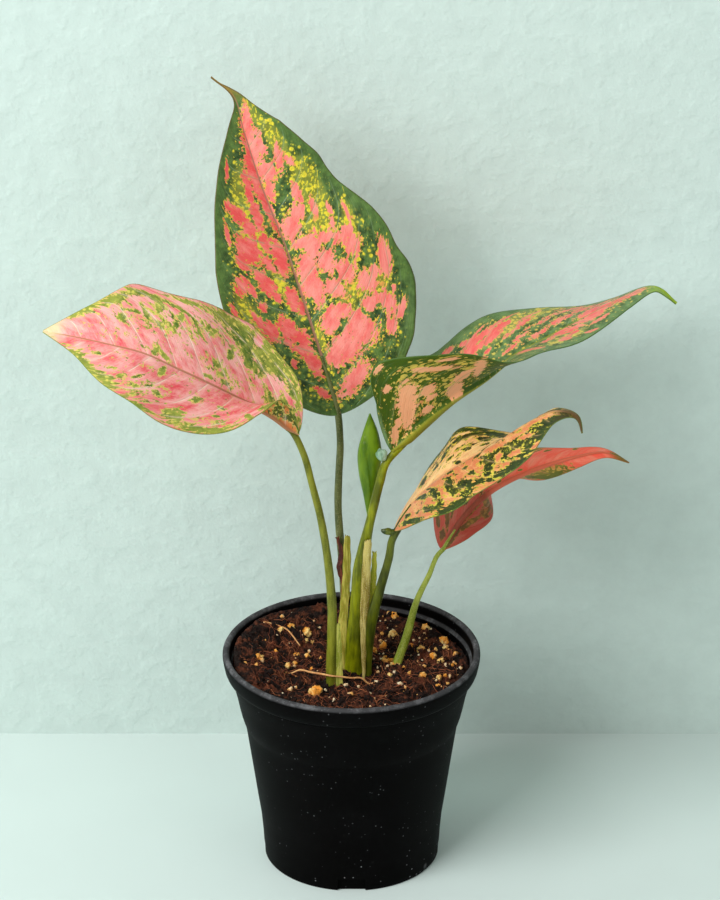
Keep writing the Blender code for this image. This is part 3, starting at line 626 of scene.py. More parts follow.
LEAF_UPPER_RIGHT = Blade(
    midrib=((20, 0, 225), (34, 9, 235), (49, 18, 245), (65, 28, 252), (80, 38, 260), (97, 47, 266),
            (115, 55, 273), (135, 61, 281), (152, 64, 286), (163, 62, 278)),
    face=(0, 0, 1),
    left=Half(width=(13, 31, 38, 38, 34, 28, 20, 9, 0.5),
              rise=(50, 20, 5, 2, 10, 0, -18, -20, -10)),
    right=Half(width=(34, 46, 41, 35, 31, 26, 19, 10, 0.5),
               rise=(95, 90, 60, 34, 21, 9, 3, 3, 0), sweep=(4, -2, 0, 0, 0, 0, 0, 0, 0)),
    round=0.08, rib=3.0, vein_lean=0.75, vein_pitch=17, vein_start=(0.4, 0.1),
    markings=Markings(
        ground=-1.0,
        patches=((5.5, 6, 4.6, 2.4, 55), (11, 10, 2.2, 2.6), (20, 16, 13, 5.4, 62), (27, 5, 3.4, 2.4),
                 (31.5, 17, 3.6, 3.4), (31, 10.5, 2.6, 1.8), (42.5, 6, 4.0, 8), (46, 18, 6, 3, 60),
                 (52.5, 25, 2.4, 12), (38, 30.5, 6.5, 1.9, -20), (16, 30, 2.6, 2.2), (19, 43, 4, 1.3, 20),
                 (33, 33.5, 3, 1.6, -10), (41, 37, 3, 1.5), (62, -33, 4.5, 1.8), (70, -29, 2.4, 1.6),
                 (67, -21, 6.5, 3.2), (79, -19, 7.5, 3), (74, -13, 2.4, 1.6), (90, -15, 8.5, 1.5, -15),
                 (97, -18, 8, 1.9, -15), (105, -13, 9, 1.6, -15), (76, -24, 10, 2.2, -5),
                 (86, -22, 8, 1.8, -8), (66, -10, 7, 2.4, -10), (110, -16, 10, 1.4, -14),
                 (134, -10, 9, 1.6, -10), (83, -5, 8, 2.2, -10), (90, -9, 9, 2, -10), (99, -5, 12, 2.8, -8),
                 (112, -8, 13, 4, -12), (124, -12, 9, 4, -10), (128, -2, 14, 7), (120, -17, 9, 1.8, -12),
                 (146, 0, 11, 3.6), (84, 8, 7, 3.2, 50), (88, 14, 4, 2.4, 50), (97, 6, 4.5, 2.6, 10),
                 (106, 4, 9, 4.4), (113, 7, 7, 3), (123, 4, 10, 3.6), (104, 15, 3.2, 3),
                 (127, 11, 6, 1.4, -10), (118, 19, 4.5, 1.4, 10), (110, 12, 4, 1.4), (20, -14, 13, 5, -60),
                 (34, -16, 7, 4, -40), (45, -10, 8, 4, -30), (74, -27, 9, 0.9, -12), (90, -26, 8, 0.8, -12),
                 (102, -22, 8, 0.8, -14), (64, -15, 6, 0.9, -15), (118, -20.5, 8, 0.7, -12),
                 (95, -12, 7, 0.8, -12), (58, -20, 7, 1.2, -15)),
        worn=((100, -6, 50, 18, -8),),
        flecks=((32, 30, 20, 11, 20), (38, 15, 12, 12), (30, 8, 14, 10), (48, 30, 10, 10),
                (95, -21, 34, 8, -8), (106, 14, 16, 6), (30, -25, 26, 12, -30)),
        fleck_base=0.6, clean_margin=4),
    # under_green and under_patch are bright: partly painted light that shines through this blade.
    skin=Skin(deep=srgb(48, 78, 30), green=srgb(112, 142, 84), patch=srgb(234, 92, 90),
              patch_pale=srgb(240, 150, 130), fleck=srgb(222, 196, 84), amber=srgb(236, 158, 96),
              vein=srgb(134, 156, 104), midrib=srgb(150, 150, 40), rim=srgb(74, 104, 44),
              under_green=srgb(66, 96, 2), under_patch=srgb(255, 190, 142), halo=0.14, vein_show=0.35,
              pale=0.4, torn=0.8, tip=srgb(158, 190, 52), tip_from=158))

LEAF_FRONT_RIGHT = Blade(
    midrib=((21, -8, 186), (28, -12, 200), (36, -16, 212), (46, -22, 224), (58, -28, 235),
            (69, -34, 245), (83, -40, 258), (98, -46, 268), (108, -49, 267), (111, -50, 258)),
    face=(-0.3, -0.2, 0.9),
    left=Half(width=(8, 12, 16, 20, 24, 27, 29, 28.5, 27, 25, 22, 19.5, 15, 9, 4, 1.3, 0.4),
              rise=(0, -5, 5, 8, -15, -32, -30, -20, 0), curl=(-10, -10, -10, -10, -10, 0, 0)),
    right=Half(width=(6, 10, 14, 19, 24, 26.5, 28, 28, 27, 26.2, 25, 24, 21, 14, 6, 1.6, 0.3),
               rise=(0, 0, 5, 0, 0, 0, -5, -10, 0), curl=(-10, -20, -25, -25, -25, -25, -20, 0, 0)),
    round=0.12, rib=2.0, vein_lean=0.9, vein_pitch=14, vein_start=(0.45, 0),
    markings=Markings(
        ground=0.5, patches=(),
        worn=((60, 16, 40, 12, 12), (50, -16, 36, 14, -10), (100, 10, 30, 12)),
        gaps=((31, 6, 10, 1.9, 35), (42, 11, 6, 3, 40), (45, 14, 3.2, 3), (38, 19, 8, 2.2, 30),
              (47, 21.5, 3, 3.4), (53, 12, 7, 3.2, 65), (57, 17.5, 5, 3, 10), (65, 17, 10, 2.6, 15),
              (72, 20.5, 9, 1.6, 5), (57, 26, 15, 3.2), (66, 23, 7, 2.2, 10), (52, 3, 4, 1.3, 20),
              (69, 12.5, 3.2, 1.7), (57, -1, 6, 1.2, 35), (82, 9, 9, 5.4), (80, 14, 3, 7), (93, 12, 9, 7),
              (101, 11, 14, 6), (84, -2, 5, 1, -50), (90, -3, 6, 1.2, -50), (97, -3, 6, 1, -50),
              (75, -3, 6, 1, -50), (104, -3, 5, 0.9, -50), (71, 2, 4, 1.2, -30), (87, 3, 4, 1),
              (75, 6, 4, 1.4, 20), (63, 6, 3, 1.2, 30), (106, 14, 19, 8), (112, 7, 6, 4), (117, 8, 8, 5),
              (124, 5, 8, 7), (96, 22, 22, 3), (52, -25.4, 20, 4.4), (72, -21, 12, 4.2, 20),
              (32, -22, 10, 3, -30), (116, -2, 8, 3), (20, 13, 17, 1.8, 35), (16, 6, 4, 1.6, 30),
              (26, 12, 3, 1.2, 30), (36, 4, 3, 1, 30), (55, -20, 10, 2.4, -20), (60, -23.5, 7, 3.8, 15),
              (45, -15, 7, 2.6, -45), (42, -23, 8, 2.4, -25), (28, -9, 4.4, 4.4), (32, -20, 6, 2, -40),
              (60, -10, 3.4, 2, 20), (66, -17, 5, 2.6, 30), (80, -12, 5, 2.4, -20), (90, -8, 4, 2, -20),
              (98, -6, 4, 1.8, -20), (38, -10, 3, 1.6), (50, -8, 3, 1.4), (70, -10, 3, 1.6)),
        islands=((92, 4.5, 14, 1.8, 4), (86, 12, 2.4, 2.4), (96, 15.5, 4.5, 1.6), (103, 9, 5, 1.4, 10),
                 (110, 17, 3.4, 1.4), (112, 2, 9, 1.3), (54, -23.5, 4.5, 1.2), (90, 19, 3, 1.4)),
        flecks=((56, -16, 18, 7, -10), (50, -24, 26, 5), (98, 11, 26, 8), (58, 20, 22, 7, 10),
                (40, 14, 16, 5, 35), (55, -10, 9, 9), (86, 13, 6, 6)),
        fleck_base=0.28, fleck_peak=0.72),
    # Painted shade: patch is darkened to orange-brown, and pale_right below 0 lays it on the right half, the
    # near half that hangs in the shade of the far half.
    skin=Skin(deep=srgb(20, 34, 3), green=srgb(50, 68, 8), patch=srgb(208, 118, 76),
              patch_pale=srgb(238, 196, 132), fleck=srgb(216, 204, 70), amber=srgb(232, 176, 84),
              vein=srgb(236, 196, 132), midrib=srgb(206, 150, 100), rim=srgb(96, 116, 40),
              under_green=srgb(56, 72, 10), under_patch=srgb(226, 140, 90), halo=0.30, vein_show=0.3,
              pale=0.8, pale_right=-0.75, torn=1.0, tip=srgb(64, 54, 18), tip_from=121))

LEAF_LOW_RIGHT = Blade(
    midrib=((45, 18, 162), (57, 20, 180), (70, 23, 192), (85, 27, 199), (99, 31, 203),
            (113, 34, 206), (127, 37, 207), (140, 38, 201)),
    face=(-0.3, -0.1, 0.95),
    left=Half(width=(16, 24, 27, 28, 27, 20, 11, 5, 0.5),
              rise=(20, 20, 15, 15, 10, 5, 0, 0, 0), curl=(-10, -10, -10, -10, -10, 0, 0)),
    right=Half(width=(4, 9, 13, 15, 16, 10, 6, 3, 0.4),
               rise=(-30, -50, -75, -150, -130, -90, -60, -40, 0), curl=(-30, -30)),
    round=0.12, rib=1.8, vein_lean=0.9, vein_pitch=13, vein_start=(0.45, 0),
    markings=Markings(
        ground=0.6, patches=(),
        gaps=((10, 1, 8, 2), (6, -5, 4, 2.4, -40), (20, 4, 7, 1.4, 15), (24, 1, 9, 1), (34.5, 3, 2, 10, 10),
              (30, 7, 3, 3), (27, -6, 3, 1.2, -20), (46, -5, 0.9, 6, 10), (45, 9, 1.6, 8), (69, 6, 14, 5.5),
              (88, -8.5, 1.8, 1.1), (40, -22, 14, 5, -5), (64, -22, 14, 5, 10), (109, -1, 5, 1.2),
              (58, -4, 1.2, 0.8), (75, -14, 2, 1), (14, -9, 7, 1.6, -50), (22, -12, 8, 1.5, -40),
              (9, -14, 5, 1.6, -60), (30, -12, 6, 1.4, -30), (36, -14, 4, 3), (18, -19, 8, 1.8, -30)),
        islands=((30, -22, 8, 3), (50, -22, 6, 3)),
        flecks=((70, 3, 14, 4), (28, 4, 12, 6), (55, -20, 16, 6)),
        fleck_base=0.14),
    # Partly painted shadow: base darkens the first base_to mm, the blade's own dull red lying in the shadow
    # of the front right blade.
    skin=Skin(deep=srgb(64, 82, 14), green=srgb(124, 120, 36), patch=srgb(255, 94, 70),
              patch_pale=srgb(255, 150, 122), fleck=srgb(212, 170, 70), amber=srgb(236, 140, 76),
              vein=srgb(240, 140, 104), midrib=srgb(226, 110, 80), rim=srgb(150, 110, 50),
              under_green=srgb(96, 98, 14), under_patch=srgb(232, 96, 70), halo=0.20, vein_show=0.3,
              pale=0.25, torn=0.8, tip=srgb(120, 110, 40), tip_from=106, base=srgb(104, 34, 20), base_to=42))

BLADES = {"tall": LEAF_TALL, "left": LEAF_LEFT, "upper_right": LEAF_UPPER_RIGHT,
          "front_right": LEAF_FRONT_RIGHT, "low_right": LEAF_LOW_RIGHT}
PATTERN_SHIFT = 17.0         # how far apart the blades lie in the noise that tears their patches
BLADE_BASE = 1.2             # mm, half-width where a blade leaves its stalk
GROOVE = 1.1                 # mm, half-width of the groove that a vein or the midrib presses in
CROWDING = 1.35           # how much closer the columns of a blade lie near its midrib

# the rolled lobes where two blades meet their stalks: place and half-size in mm, turn, dark and light colour;
# the upper right lobe's pale blue-green is partly painted reflection
LOBES = {
    "upper_right": ((15.0, -2.6, 224.2), (2.7, 2.0, 3.4), -14, srgb(96, 132, 100), srgb(160, 190, 164)),
    "front_right": ((18.7, -9.3, 185.4), (3.9, 1.7, 1.8), 6, srgb(30, 52, 8), srgb(96, 104, 34)),
}


def half_width(strip, half, along):
    height, waves, phase = half.ripple
    ends = np.clip(8 * np.minimum(along, 1 - along), 0, 1)
    width = smooth_values(half.width, along) + height * ends * np.sin(2 * math.pi * (waves * along + phase))
    lead = np.clip(1 - along / strip.round, 0, 1)
    return np.maximum(np.maximum(width, 0.4) * np.sqrt(1 - lead**2), BLADE_BASE * lead)


def strip_points(strip, along, across):
    """Middle surface: places, mm along the midrib, mm across and mm to the margin, all [row, column]."""
    ribs, forward = smooth_path(strip.midrib, along)
    up = np.array(strip.face, float) - forward * (forward @ np.array(strip.face, float))[:, None]
    up /= np.linalg.norm(up, axis=1, keepdims=True)
    side = np.cross(forward, up)
    shape = (len(along), len(across))
    points, over, rim = np.zeros((*shape, 3)), np.zeros(shape), np.zeros(shape)
    for column, place in enumerate(across):
        half = strip.left if place < 0 else strip.right
        reach = abs(place)
        width = half_width(strip, half, along)
        turns = np.linspace(0, reach, 9)[None, :]
        bend = np.radians(smooth_values(half.curl, along))[:, None] * turns
        angle = np.radians(smooth_values(half.rise, along))[:, None] + bend
        out = (width * reach * np.cos(angle).mean(axis=1))[:, None]
        height, waves, phase = half.wave
        crests = np.sin(2 * math.pi * (waves * along + phase))
        swell = height * np.sin(math.pi * along) ** 0.7 * reach**2.5 * crests
        lift = (width * reach * np.sin(angle).mean(axis=1) + swell)[:, None]
        ahead = (smooth_values(half.sweep, along) * reach**2)[:, None]
        points[:, column] = ribs + side * out * math.copysign(1, place) + up * lift + forward * ahead
        over[:, column] = width * place
        rim[:, column] = width * (1 - reach)
    mm_along = np.repeat((along * path_length(strip.midrib))[:, None], len(across), axis=1)
    return points, mm_along, over, rim


def mark_distance(mark, along, over):
    """How far each point lies from a mark's middle, 1 being its edge."""
    s, w, length, width, turn = (*mark, 0)[:5]
    c, t = math.cos(math.radians(turn)), math.sin(math.radians(turn))
    x, y = along - s, over - w
    return np.hypot((x * c + y * t) / length, (y * c - x * t) / width)


def patch_field(markings, along, over):
    """Above 0 where the blade is pink and below 0 where it is green, between -1 and 1."""
    field = np.full(along.shape, markings.ground)
    for mark in markings.patches:
        field = np.maximum(field, 1 - mark_distance(mark, along, over))
    for mark in markings.worn:
        field = field - 0.5 * np.clip(1 - mark_distance(mark, along, over) ** 2, 0, 1)
    for mark in markings.gaps:
        field = np.minimum(field, 1.3 * (mark_distance(mark, along, over) - 1))
    for mark in markings.islands:
        field = np.maximum(field, 1 - mark_distance(mark, along, over))
    return np.clip(field, -1, 1)


def fleck_field(markings, along, over, rim):
    field = markings.fleck_base * smooth_step(0, markings.clean_margin, rim)
    for mark in markings.flecks:
        field = np.maximum(field, markings.fleck_peak * (1 - 0.6 * mark_distance(mark, along, over) ** 2))
    return np.clip(field, 0, 1)


def vein_number(blade, along, over, rim):
    """Rises by one from each side vein to the next. Veins lean to the tip and turn to follow the margin."""
    reach = np.abs(over) + rim
    lean = blade.vein_lean * np.abs(over) + 0.9 * reach * (np.abs(over) / reach) ** 5
    return (along - lean) / blade.vein_pitch + np.where(over < 0, blade.vein_start[0], blade.vein_start[1])


def build_blade(name, blade, settings):
    """A blade from a grid: veins pressed into its upper face, then Solidify, thicker along the midrib."""
    rows, columns = settings.rows, settings.columns
    along = (1 - np.cos(math.pi * np.linspace(0, 1, rows + 1))) / 2
    even = np.linspace(-1, 1, columns + 1)
    across = np.sign(even) * np.abs(even) ** CROWDING
    points, s, w, rim = strip_points(blade, along, across)
    veins = vein_number(blade, s, w, rim)
    gap = np.abs(veins - np.round(veins)) * blade.vein_pitch * 0.7
    fade = smooth_step(0, 6, rim) * smooth_step(0, 3, np.abs(w))
    press = settings.vein_depth / MM * (np.exp(-(gap / GROOVE) ** 2) - 0.45) * fade
    taper = 1 - 0.75 * along[:, None]
    press = press + 0.28 * blade.rib * taper * np.exp(-(w / GROOVE) ** 2)
    normal = np.cross(np.gradient(points, axis=1), np.gradient(points, axis=0))
    normal /= np.maximum(np.linalg.norm(normal, axis=2, keepdims=True), 1e-9)
    points = points - normal * press[:, :, None]

    piece = sheet(name, points * MM)
    mesh = piece.data
    corner = np.zeros(len(mesh.loops), np.int32)
    mesh.loops.foreach_get("vertex_index", corner)
    uv = mesh.uv_layers[0]
    uv.name = "leaf_place"
    flat = np.stack([s.reshape(-1) / LEAF_SPAN, 0.5 + w.reshape(-1) / LEAF_SPAN], axis=1)[corner]
    uv.uv.foreach_set("vector", flat.reshape(-1).astype(np.float32))
    fields = {"patch": patch_field(blade.markings, s, w), "fleck": fleck_field(blade.markings, s, w, rim),
              "vein": veins, "rim": rim}
    for label, values in fields.items():
        stored = mesh.attributes.new(label, "FLOAT", "POINT")
        stored.data.foreach_set("value", values.reshape(-1).astype(np.float32))

    skin = settings.thickness / MM
    root = smooth_step(-0.01, 0.07, along)[:, None]
    rib = skin + (blade.rib * taper * root - skin) * np.exp(-(w / (0.5 * blade.rib)) ** 2)
    skin_share = np.minimum(rib, skin + rim * 4) / blade.rib
    weights = piece.vertex_groups.new(name="thickness")
    for index, weight in enumerate(skin_share.reshape(-1)):
        weights.add([index], min(1.0, float(weight)), "REPLACE")
    thicken(piece, blade.rib * MM, -1, "thickness")

    under = np.zeros(len(piece.data.vertices), np.float32)
    under[(rows + 1) * (columns + 1):] = 1
    stored = piece.data.attributes.new("under", "FLOAT", "POINT")
    stored.data.foreach_set("value", under)
    return piece


def pattern_values(blade, shift):
    """The pattern's inputs, named after the skin's fields. The shift keeps two blades from looking alike."""
    values = {label.replace("_", " ").title(): value for label, value in vars(blade.skin).items()}
    return {**values, "Vein Pitch": blade.vein_pitch, "Shift": shift}


def build_leaf_pattern(name):
    """Pink patches with torn edges and yellow halos, yellow flecks, veins, midrib and margin on green, with
    painted sheen lightening the green near the margin.
    """
    graph, given = start_pattern(name, pattern_values(LEAF_TALL, 0.0))
    flat = graph.split(graph.add("ShaderNodeUVMap", uv_map="leaf_place").outputs[0])
    along = graph.times(flat[0], LEAF_SPAN)
    across = graph.swing(flat[1], LEAF_SPAN)
    vein, fleck, rim, under = (graph.attribute(name) for name in ("vein", "fleck", "rim", "under"))
    drawn = graph.join(graph.times(vein, given["Vein Pitch"], 0.9), graph.times(across, 0.85), given["Shift"])
    even = graph.join(along, across, given["Shift"])

    coarse = graph.noise(drawn, 0.24, 2.0, 0.5)
    loose = graph.mix(0.55, drawn, even)
    fine = graph.noise(loose, 0.62, 4.0, 0.64)
    torn = graph.times(graph.plus(graph.swing(coarse, 1.3), graph.swing(fine, 2.6)), given["Torn"])
    field = graph.plus(graph.math("MINIMUM", graph.attribute("patch"), 0.62), torn)
    pink = graph.step(field, -0.03, 0.04)
    halo = graph.step(graph.plus(field, given["Halo"]), -0.04, 0.03)
    halo = graph.times(halo, graph.step(graph.noise(even, 0.5, 2.0, 0.5), 0.40, 0.52))

    wander = graph.noise(even, 0.9, 2.0, 0.5)
    spot = graph.cells(graph.vector("ADD", even, graph.join(wander, fine, 0.0)), 0.40)
    chance = graph.split(spot["Color"])
    size = graph.minus(graph.times(fleck, chance[0], 0.80), 0.08)
    inside_spot = graph.minus(size, spot["Distance"])
    dots = graph.step(inside_spot, -0.03, 0.05)
    dot_glow = graph.step(inside_spot, -0.30, 0.02)
    island = graph.noise(graph.vector("ADD", loose, (37.0, 11.0, 5.0)), 0.60, 3.0, 0.6)
    island = graph.plus(island, graph.times(fleck, 0.20))
    yellow = graph.larger(halo, dots, graph.step(island, 0.745, 0.775))

    shade = graph.noise(even, 0.20, 4.0, 0.6)
    green = graph.mix(graph.step(shade, 0.34, 0.68), given["Deep"], given["Green"])
    bright = graph.mix(0.5, given["Green"], given["Fleck"])
    green = graph.mix(graph.times(dot_glow, 0.34), green, bright)
    green = graph.mix(graph.times(graph.step(fleck, 0.62, 1.0), 0.38), green, bright)
    # Painted sheen: within 9 mm of the margin the upper face's green is drawn lighter, towards the plain
    # green.
    margin_sheen_green = graph.mix(graph.times(graph.step(rim, 9.0, 1.0), 0.5), green, given["Green"])
    # The underside green is partly painted light that shines through the thin blade.
    below = graph.mix(graph.step(shade, 0.30, 0.60), graph.mix(0.5, given["Under Green"], given["Deep"]),
                      given["Under Green"])
    green = graph.mix(under, margin_sheen_green, below)
    warm = graph.step(graph.plus(chance[1], graph.times(field, 0.6)), 0.35, 0.75)
    yellow_shade = graph.mix(warm, given["Fleck"], given["Amber"])
    yellow_shade = graph.mix(graph.times(graph.step(fine, 0.62, 0.38), 0.35), yellow_shade, given["Green"])
    colour = graph.mix(yellow, green, yellow_shade)
    # side shifts the pink towards its paler colour on the right half; on the left blade this is partly
    # painted light, and on the front right blade, below 0, painted shade.
    side = graph.times(graph.step(across, -3.0, 3.0), given["Pale Right"])
    cloud = graph.noise(drawn, 0.16, 4.0, 0.62)
    pale = graph.plus(graph.swing(cloud, 3.0), given["Pale"], side, clamp=True)
    grainy = graph.noise(drawn, 1.5, 3.0, 0.6)
    pale = graph.plus(pale, graph.swing(grainy, 0.9), clamp=True)
    pink_shade = graph.mix(pale, given["Patch"], given["Patch Pale"])
    edge_tint = graph.inverse(graph.step(field, 0.0, 0.22))
    pink_shade = graph.mix(graph.times(edge_tint, 0.45), pink_shade, given["Amber"])
    # The underside pink is partly painted light that shines through the thin blade.
    pink_shade = graph.mix(graph.times(under, 0.85), pink_shade, given["Under Patch"])
    colour = graph.mix(pink, colour, pink_shade)

    line_gap = graph.times(graph.minus(0.5, graph.fold(vein)), given["Vein Pitch"])
    line = graph.inverse(graph.step(line_gap, 0.10, 0.60))
    glow = graph.inverse(graph.step(line_gap, 0.4, 3.0))
    small_line = graph.step(graph.fold(graph.times(vein, 6.0)), 0.38, 0.5)
    inside = graph.times(graph.step(rim, 1.0, 6.0), graph.step(coarse, 0.36, 0.56))
    show = graph.times(inside, given["Vein Show"])
    colour = graph.mix(graph.times(glow, show, 0.30), colour, given["Vein"])
    colour = graph.mix(graph.times(line, show), colour, given["Vein"])
    colour = graph.mix(graph.times(small_line, show, 0.20), colour, given["Vein"])

    taper = graph.minus(1.25, graph.times(flat[0], 1.1))
    rib = graph.inverse(graph.step(graph.math("DIVIDE", graph.math("ABSOLUTE", across), taper), 0.30, 0.90))
    colour = graph.mix(graph.times(rib, 0.9), colour, given["Midrib"])
    to_tip = graph.minus(graph.plus(along, graph.times(coarse, 8.0)), given["Tip From"])
    colour = graph.mix(graph.times(graph.step(to_tip, 0.0, 9.0), 0.85), colour, given["Tip"])
    # Darker colour towards the base: partly the blade's own colour, partly painted shadow cast by the blade
    # in front.
    from_base = graph.minus(given["Base To"], graph.plus(along, graph.times(fine, 6.0)))
    colour = graph.mix(graph.times(graph.step(from_base, -5.0, 5.0), 0.62), colour, given["Base"])
    edge = graph.inverse(graph.step(rim, 0.10, 0.50))
    colour = graph.mix(graph.times(edge, 0.8), colour, given["Rim"])

    gloss = graph.plus(graph.swing(fine, 0.22), graph.times(under, 0.12))
    height = graph.minus(graph.noise(drawn, 0.28, 3.0, 0.5), graph.times(line, 0.30))
    height = graph.minus(height, graph.times(small_line, 0.14))
    height = graph.plus(height, graph.times(fine, 0.14))
    return graph.give(colour, gloss, height)


def leaf_material(name, blade, settings, shift):
    material = new_material(name, settings.gloss, Subsurface_Scale=0.0012, Specular_IOR_Level=0.30,
                            Subsurface_Weight=0.10, Subsurface_Radius=(1.0, 0.55, 0.25))
    values = pattern_values(blade, shift)
    return lay_pattern(material, build_leaf_pattern, values, settings.gloss, 0.55, 0.0006)


# ---------------------------------------------------------------- stalks and sheaths
# dark, light and fleck colour
STALK_SKINS = {
    "tall": (srgb(66, 76, 32), srgb(110, 114, 62), srgb(152, 148, 104)),
    "left": (srgb(86, 92, 12), srgb(136, 138, 38), srgb(138, 142, 56)),
    "upper_right": (srgb(84, 92, 2), srgb(150, 156, 10), srgb(66, 74, 4)),
    "front_right": (srgb(52, 60, 4), srgb(94, 102, 14), srgb(42, 46, 6)),
    "low_right": (srgb(118, 134, 26), srgb(166, 178, 70), srgb(188, 194, 112)),
}

# paths from the blade down into the mix, and the radius at each point, in mm
STALKS = {
    "tall": (((-5.6, 28, 232), (-5.6, 27, 217), (-6.3, 24, 201), (-6.7, 21, 185), (-5.7, 17, 169),
              (-4.6, 14, 158), (-3.9, 11.8, 143), (-3.3, 10.2, 127), (-3.4, 9.3, 111), (-3.4, 9.2, 99.3)),
             (1.75, 1.75, 1.8, 1.9, 1.95, 2.0, 2.0, 2.0, 2.1, 2.1)),
    "left": (((-26, -8, 238), (-23.2, -9, 227), (-19.3, -11, 212), (-15.4, -13, 196), (-12.5, -15, 179),
              (-10.6, -16, 162), (-9.6, -17, 146), (-9.7, -17, 129), (-10, -17, 115), (-10, -17, 104),
              (-10, -17, 92.5)),
             (1.6, 1.7, 1.75, 1.85, 1.95, 2.1, 2.2, 2.4, 2.6, 2.65, 2.3)),
    "upper_right": (((20, 0, 225), (17.1, -1, 219), (14.2, -1, 209), (11.7, -1, 198), (9.0, -0.9, 185.5),
                     (6.5, 0, 172), (4.2, 1.2, 153), (3.2, 1.9, 136), (2.4, 2, 125), (2.2, 2, 115),
                     (2.3, 2, 99.3)),
                    (1.85, 2.1, 2.2, 2.3, 2.9, 3.8, 3.9, 4.1, 5.0, 5.9, 6.1)),
    "front_right": (((21, -8, 186), (20.2, -8, 180), (18.7, -7, 169.7), (14.3, -5, 151.3), (11.3, -4, 139),
                     (9.6, -3.3, 129), (8.7, -3.0, 118), (8.4, -2.6, 108), (8.4, -2.4, 99.3)),
                    (1.9, 1.95, 2.05, 2.4, 2.7, 2.7, 2.5, 1.9, 1.7)),
    "low_right": (((45, 18, 162), (43.1, 18, 158.3), (39.1, 16, 148.6), (33.1, 13, 136), (27.6, 10, 116),
                   (23, 6.4, 103), (21.2, 5.2, 94)),
                  (1.2, 1.3, 1.5, 1.8, 2.1, 2.3, 2.0)),
}
SPEAR_PATH = ((8.6, 2.4, 188), (8.5, 4.6, 198), (8.8, 7.5, 208), (9.3, 9.6, 219), (9.6, 11, 230),
              (9.2, 12, 240))
SPEAR_RADII = (0.6, 2.2, 4.4, 5.4, 3.6, 0.3)

SHEATH_THICKNESS = 0.35      # mm
# name: (middle line from the top down, side that faces out, half-width down the line, curl,
#        pale colour, dark colour, fleck colour)
SHEATHS = {
    "sheath_tan_left": (((-2.2, 2.2, 178), (-2.4, 2.6, 160), (-3.0, 2.4, 147), (-4.0, 1.6, 135),
                         (-4.9, 0.6, 123), (-5.2, 0, 110), (-5.2, 0, 98)),
                        (-0.35, -0.94, 0), (1.6, 2.1, 2.2, 2.3, 2.4, 2.4, 2.4), (-30, -30),
                        srgb(192, 182, 84), srgb(134, 130, 30), srgb(196, 132, 76)),
    "sheath_tan_front": (((8.3, -4.9, 179), (7.5, -4.4, 160), (7.0, -4.2, 147), (6.5, -4.4, 135),
                          (6.3, -4.9, 122), (6.2, -5.2, 110), (6.2, -5.4, 100)),
                         (0.2, -0.98, 0), (1.9, 2.2, 2.4, 2.3, 1.9, 1.2, 0.6), (-25, -25),
                         srgb(214, 194, 112), srgb(150, 130, 50), srgb(236, 222, 170)),
    "sheath_yellow_right": (((11.5, -1.4, 171), (11.3, -1.2, 160), (10.6, -1.0, 150), (9.7, -0.8, 140),
                             (9.1, -0.6, 130), (9.0, -0.4, 118)),
                            (0.1, -0.98, 0), (1.0, 1.4, 1.7, 1.7, 1.5, 1.2), (-20, -20),
                            srgb(198, 196, 64), srgb(146, 152, 22), srgb(220, 196, 130)),
    "sheath_brown": (((-7.2, 12.8, 172), (-5.2, 12.2, 163), (-6.2, 10.6, 155), (-4.2, 10.0, 147),
                     (-4.9, 8.6, 138)), (-0.4, -0.9, 0), (0.7, 1.2, 1.3, 1.2, 0.7), (-25, 20),
                     srgb(128, 60, 40), srgb(66, 26, 18), srgb(40, 18, 12)),
    "sheath_left": (((-6.6, -17.8, 139), (-6.4, -18.2, 123), (-6.1, -18.4, 108), (-6.1, -18.4, 96)),
                    (0.1, -0.99, 0), (0.9, 1.6, 1.8, 1.7), (-20, -20),
                    srgb(198, 198, 92), srgb(136, 146, 40), srgb(214, 202, 140)),
}


def build_mottle(name):
    """Skin of stalks and sheaths: lengthwise streaks, blotches and small flecks."""
    graph, given = start_pattern(name, {"Dark": (0.05, 0.08, 0.01), "Light": (0.2, 0.25, 0.05),
                                        "Fleck": (0.1, 0.07, 0.03), "Flecks": 0.4, "Streak": 0.5,
                                        "Fibre": 0.3})
    long = graph.place(1000.0, 1000.0, 90.0)
    broad = graph.noise(graph.place(180.0, 180.0, 60.0), 1.0, 3.0, 0.55)
    streaks = graph.noise(long, 0.9, 3.0, 0.6)
    fibre = graph.noise(long, 3.0, 2.0, 0.5)
    share = graph.plus(graph.swing(streaks, given["Streak"]), broad)
    colour = graph.mix(graph.step(share, 0.32, 0.68), given["Dark"], given["Light"])
    grain = graph.noise(graph.place(1000.0, 1000.0, 700.0), 2.2, 3.0, 0.68)
    spots = graph.times(graph.step(grain, 0.54, 0.64), given["Flecks"])
    colour = graph.mix(spots, colour, given["Fleck"])
    height = graph.plus(graph.times(fibre, given["Fibre"]), graph.times(grain, 0.25))
    return graph.give(colour, graph.swing(grain, 0.3), height)


def mottled_material(name, dark, light, fleck, roughness, flecks=0.35, streak=0.6, fibre=0.4, bump=0.25,
                     subsurface=0.1):
    material = new_material(name, roughness, Subsurface_Scale=0.002, Specular_IOR_Level=0.3,
                            Subsurface_Weight=subsurface, Subsurface_Radius=(0.8, 0.9, 0.2))
    values = {"Dark": dark, "Light": light, "Fleck": fleck, "Flecks": flecks, "Streak": streak,
              "Fibre": fibre}
    return lay_pattern(material, build_mottle, values, roughness, bump, 0.0004)


def stalk_outline(groove, ridge):
    """Cross-section of a stalk: faint ribs all round and a shallow groove on its upper side."""
    def outline(angle, along):
        ribs = 0.018 * np.sin(11 * angle) + 0.012 * np.sin(17 * angle + 1)
        lump = 0.02 * np.sin(23 * along) + 0.015 * np.sin(61 * along + 2)
        channel = groove * np.exp(-(((angle - 2.2) / 0.35) ** 2))
        wing = ridge * np.exp(-(((angle - 1.6) / 0.18) ** 2)) * smooth_step(0.25, 0.6, along)
        return 1 + ribs + lump - channel + wing
    return outline


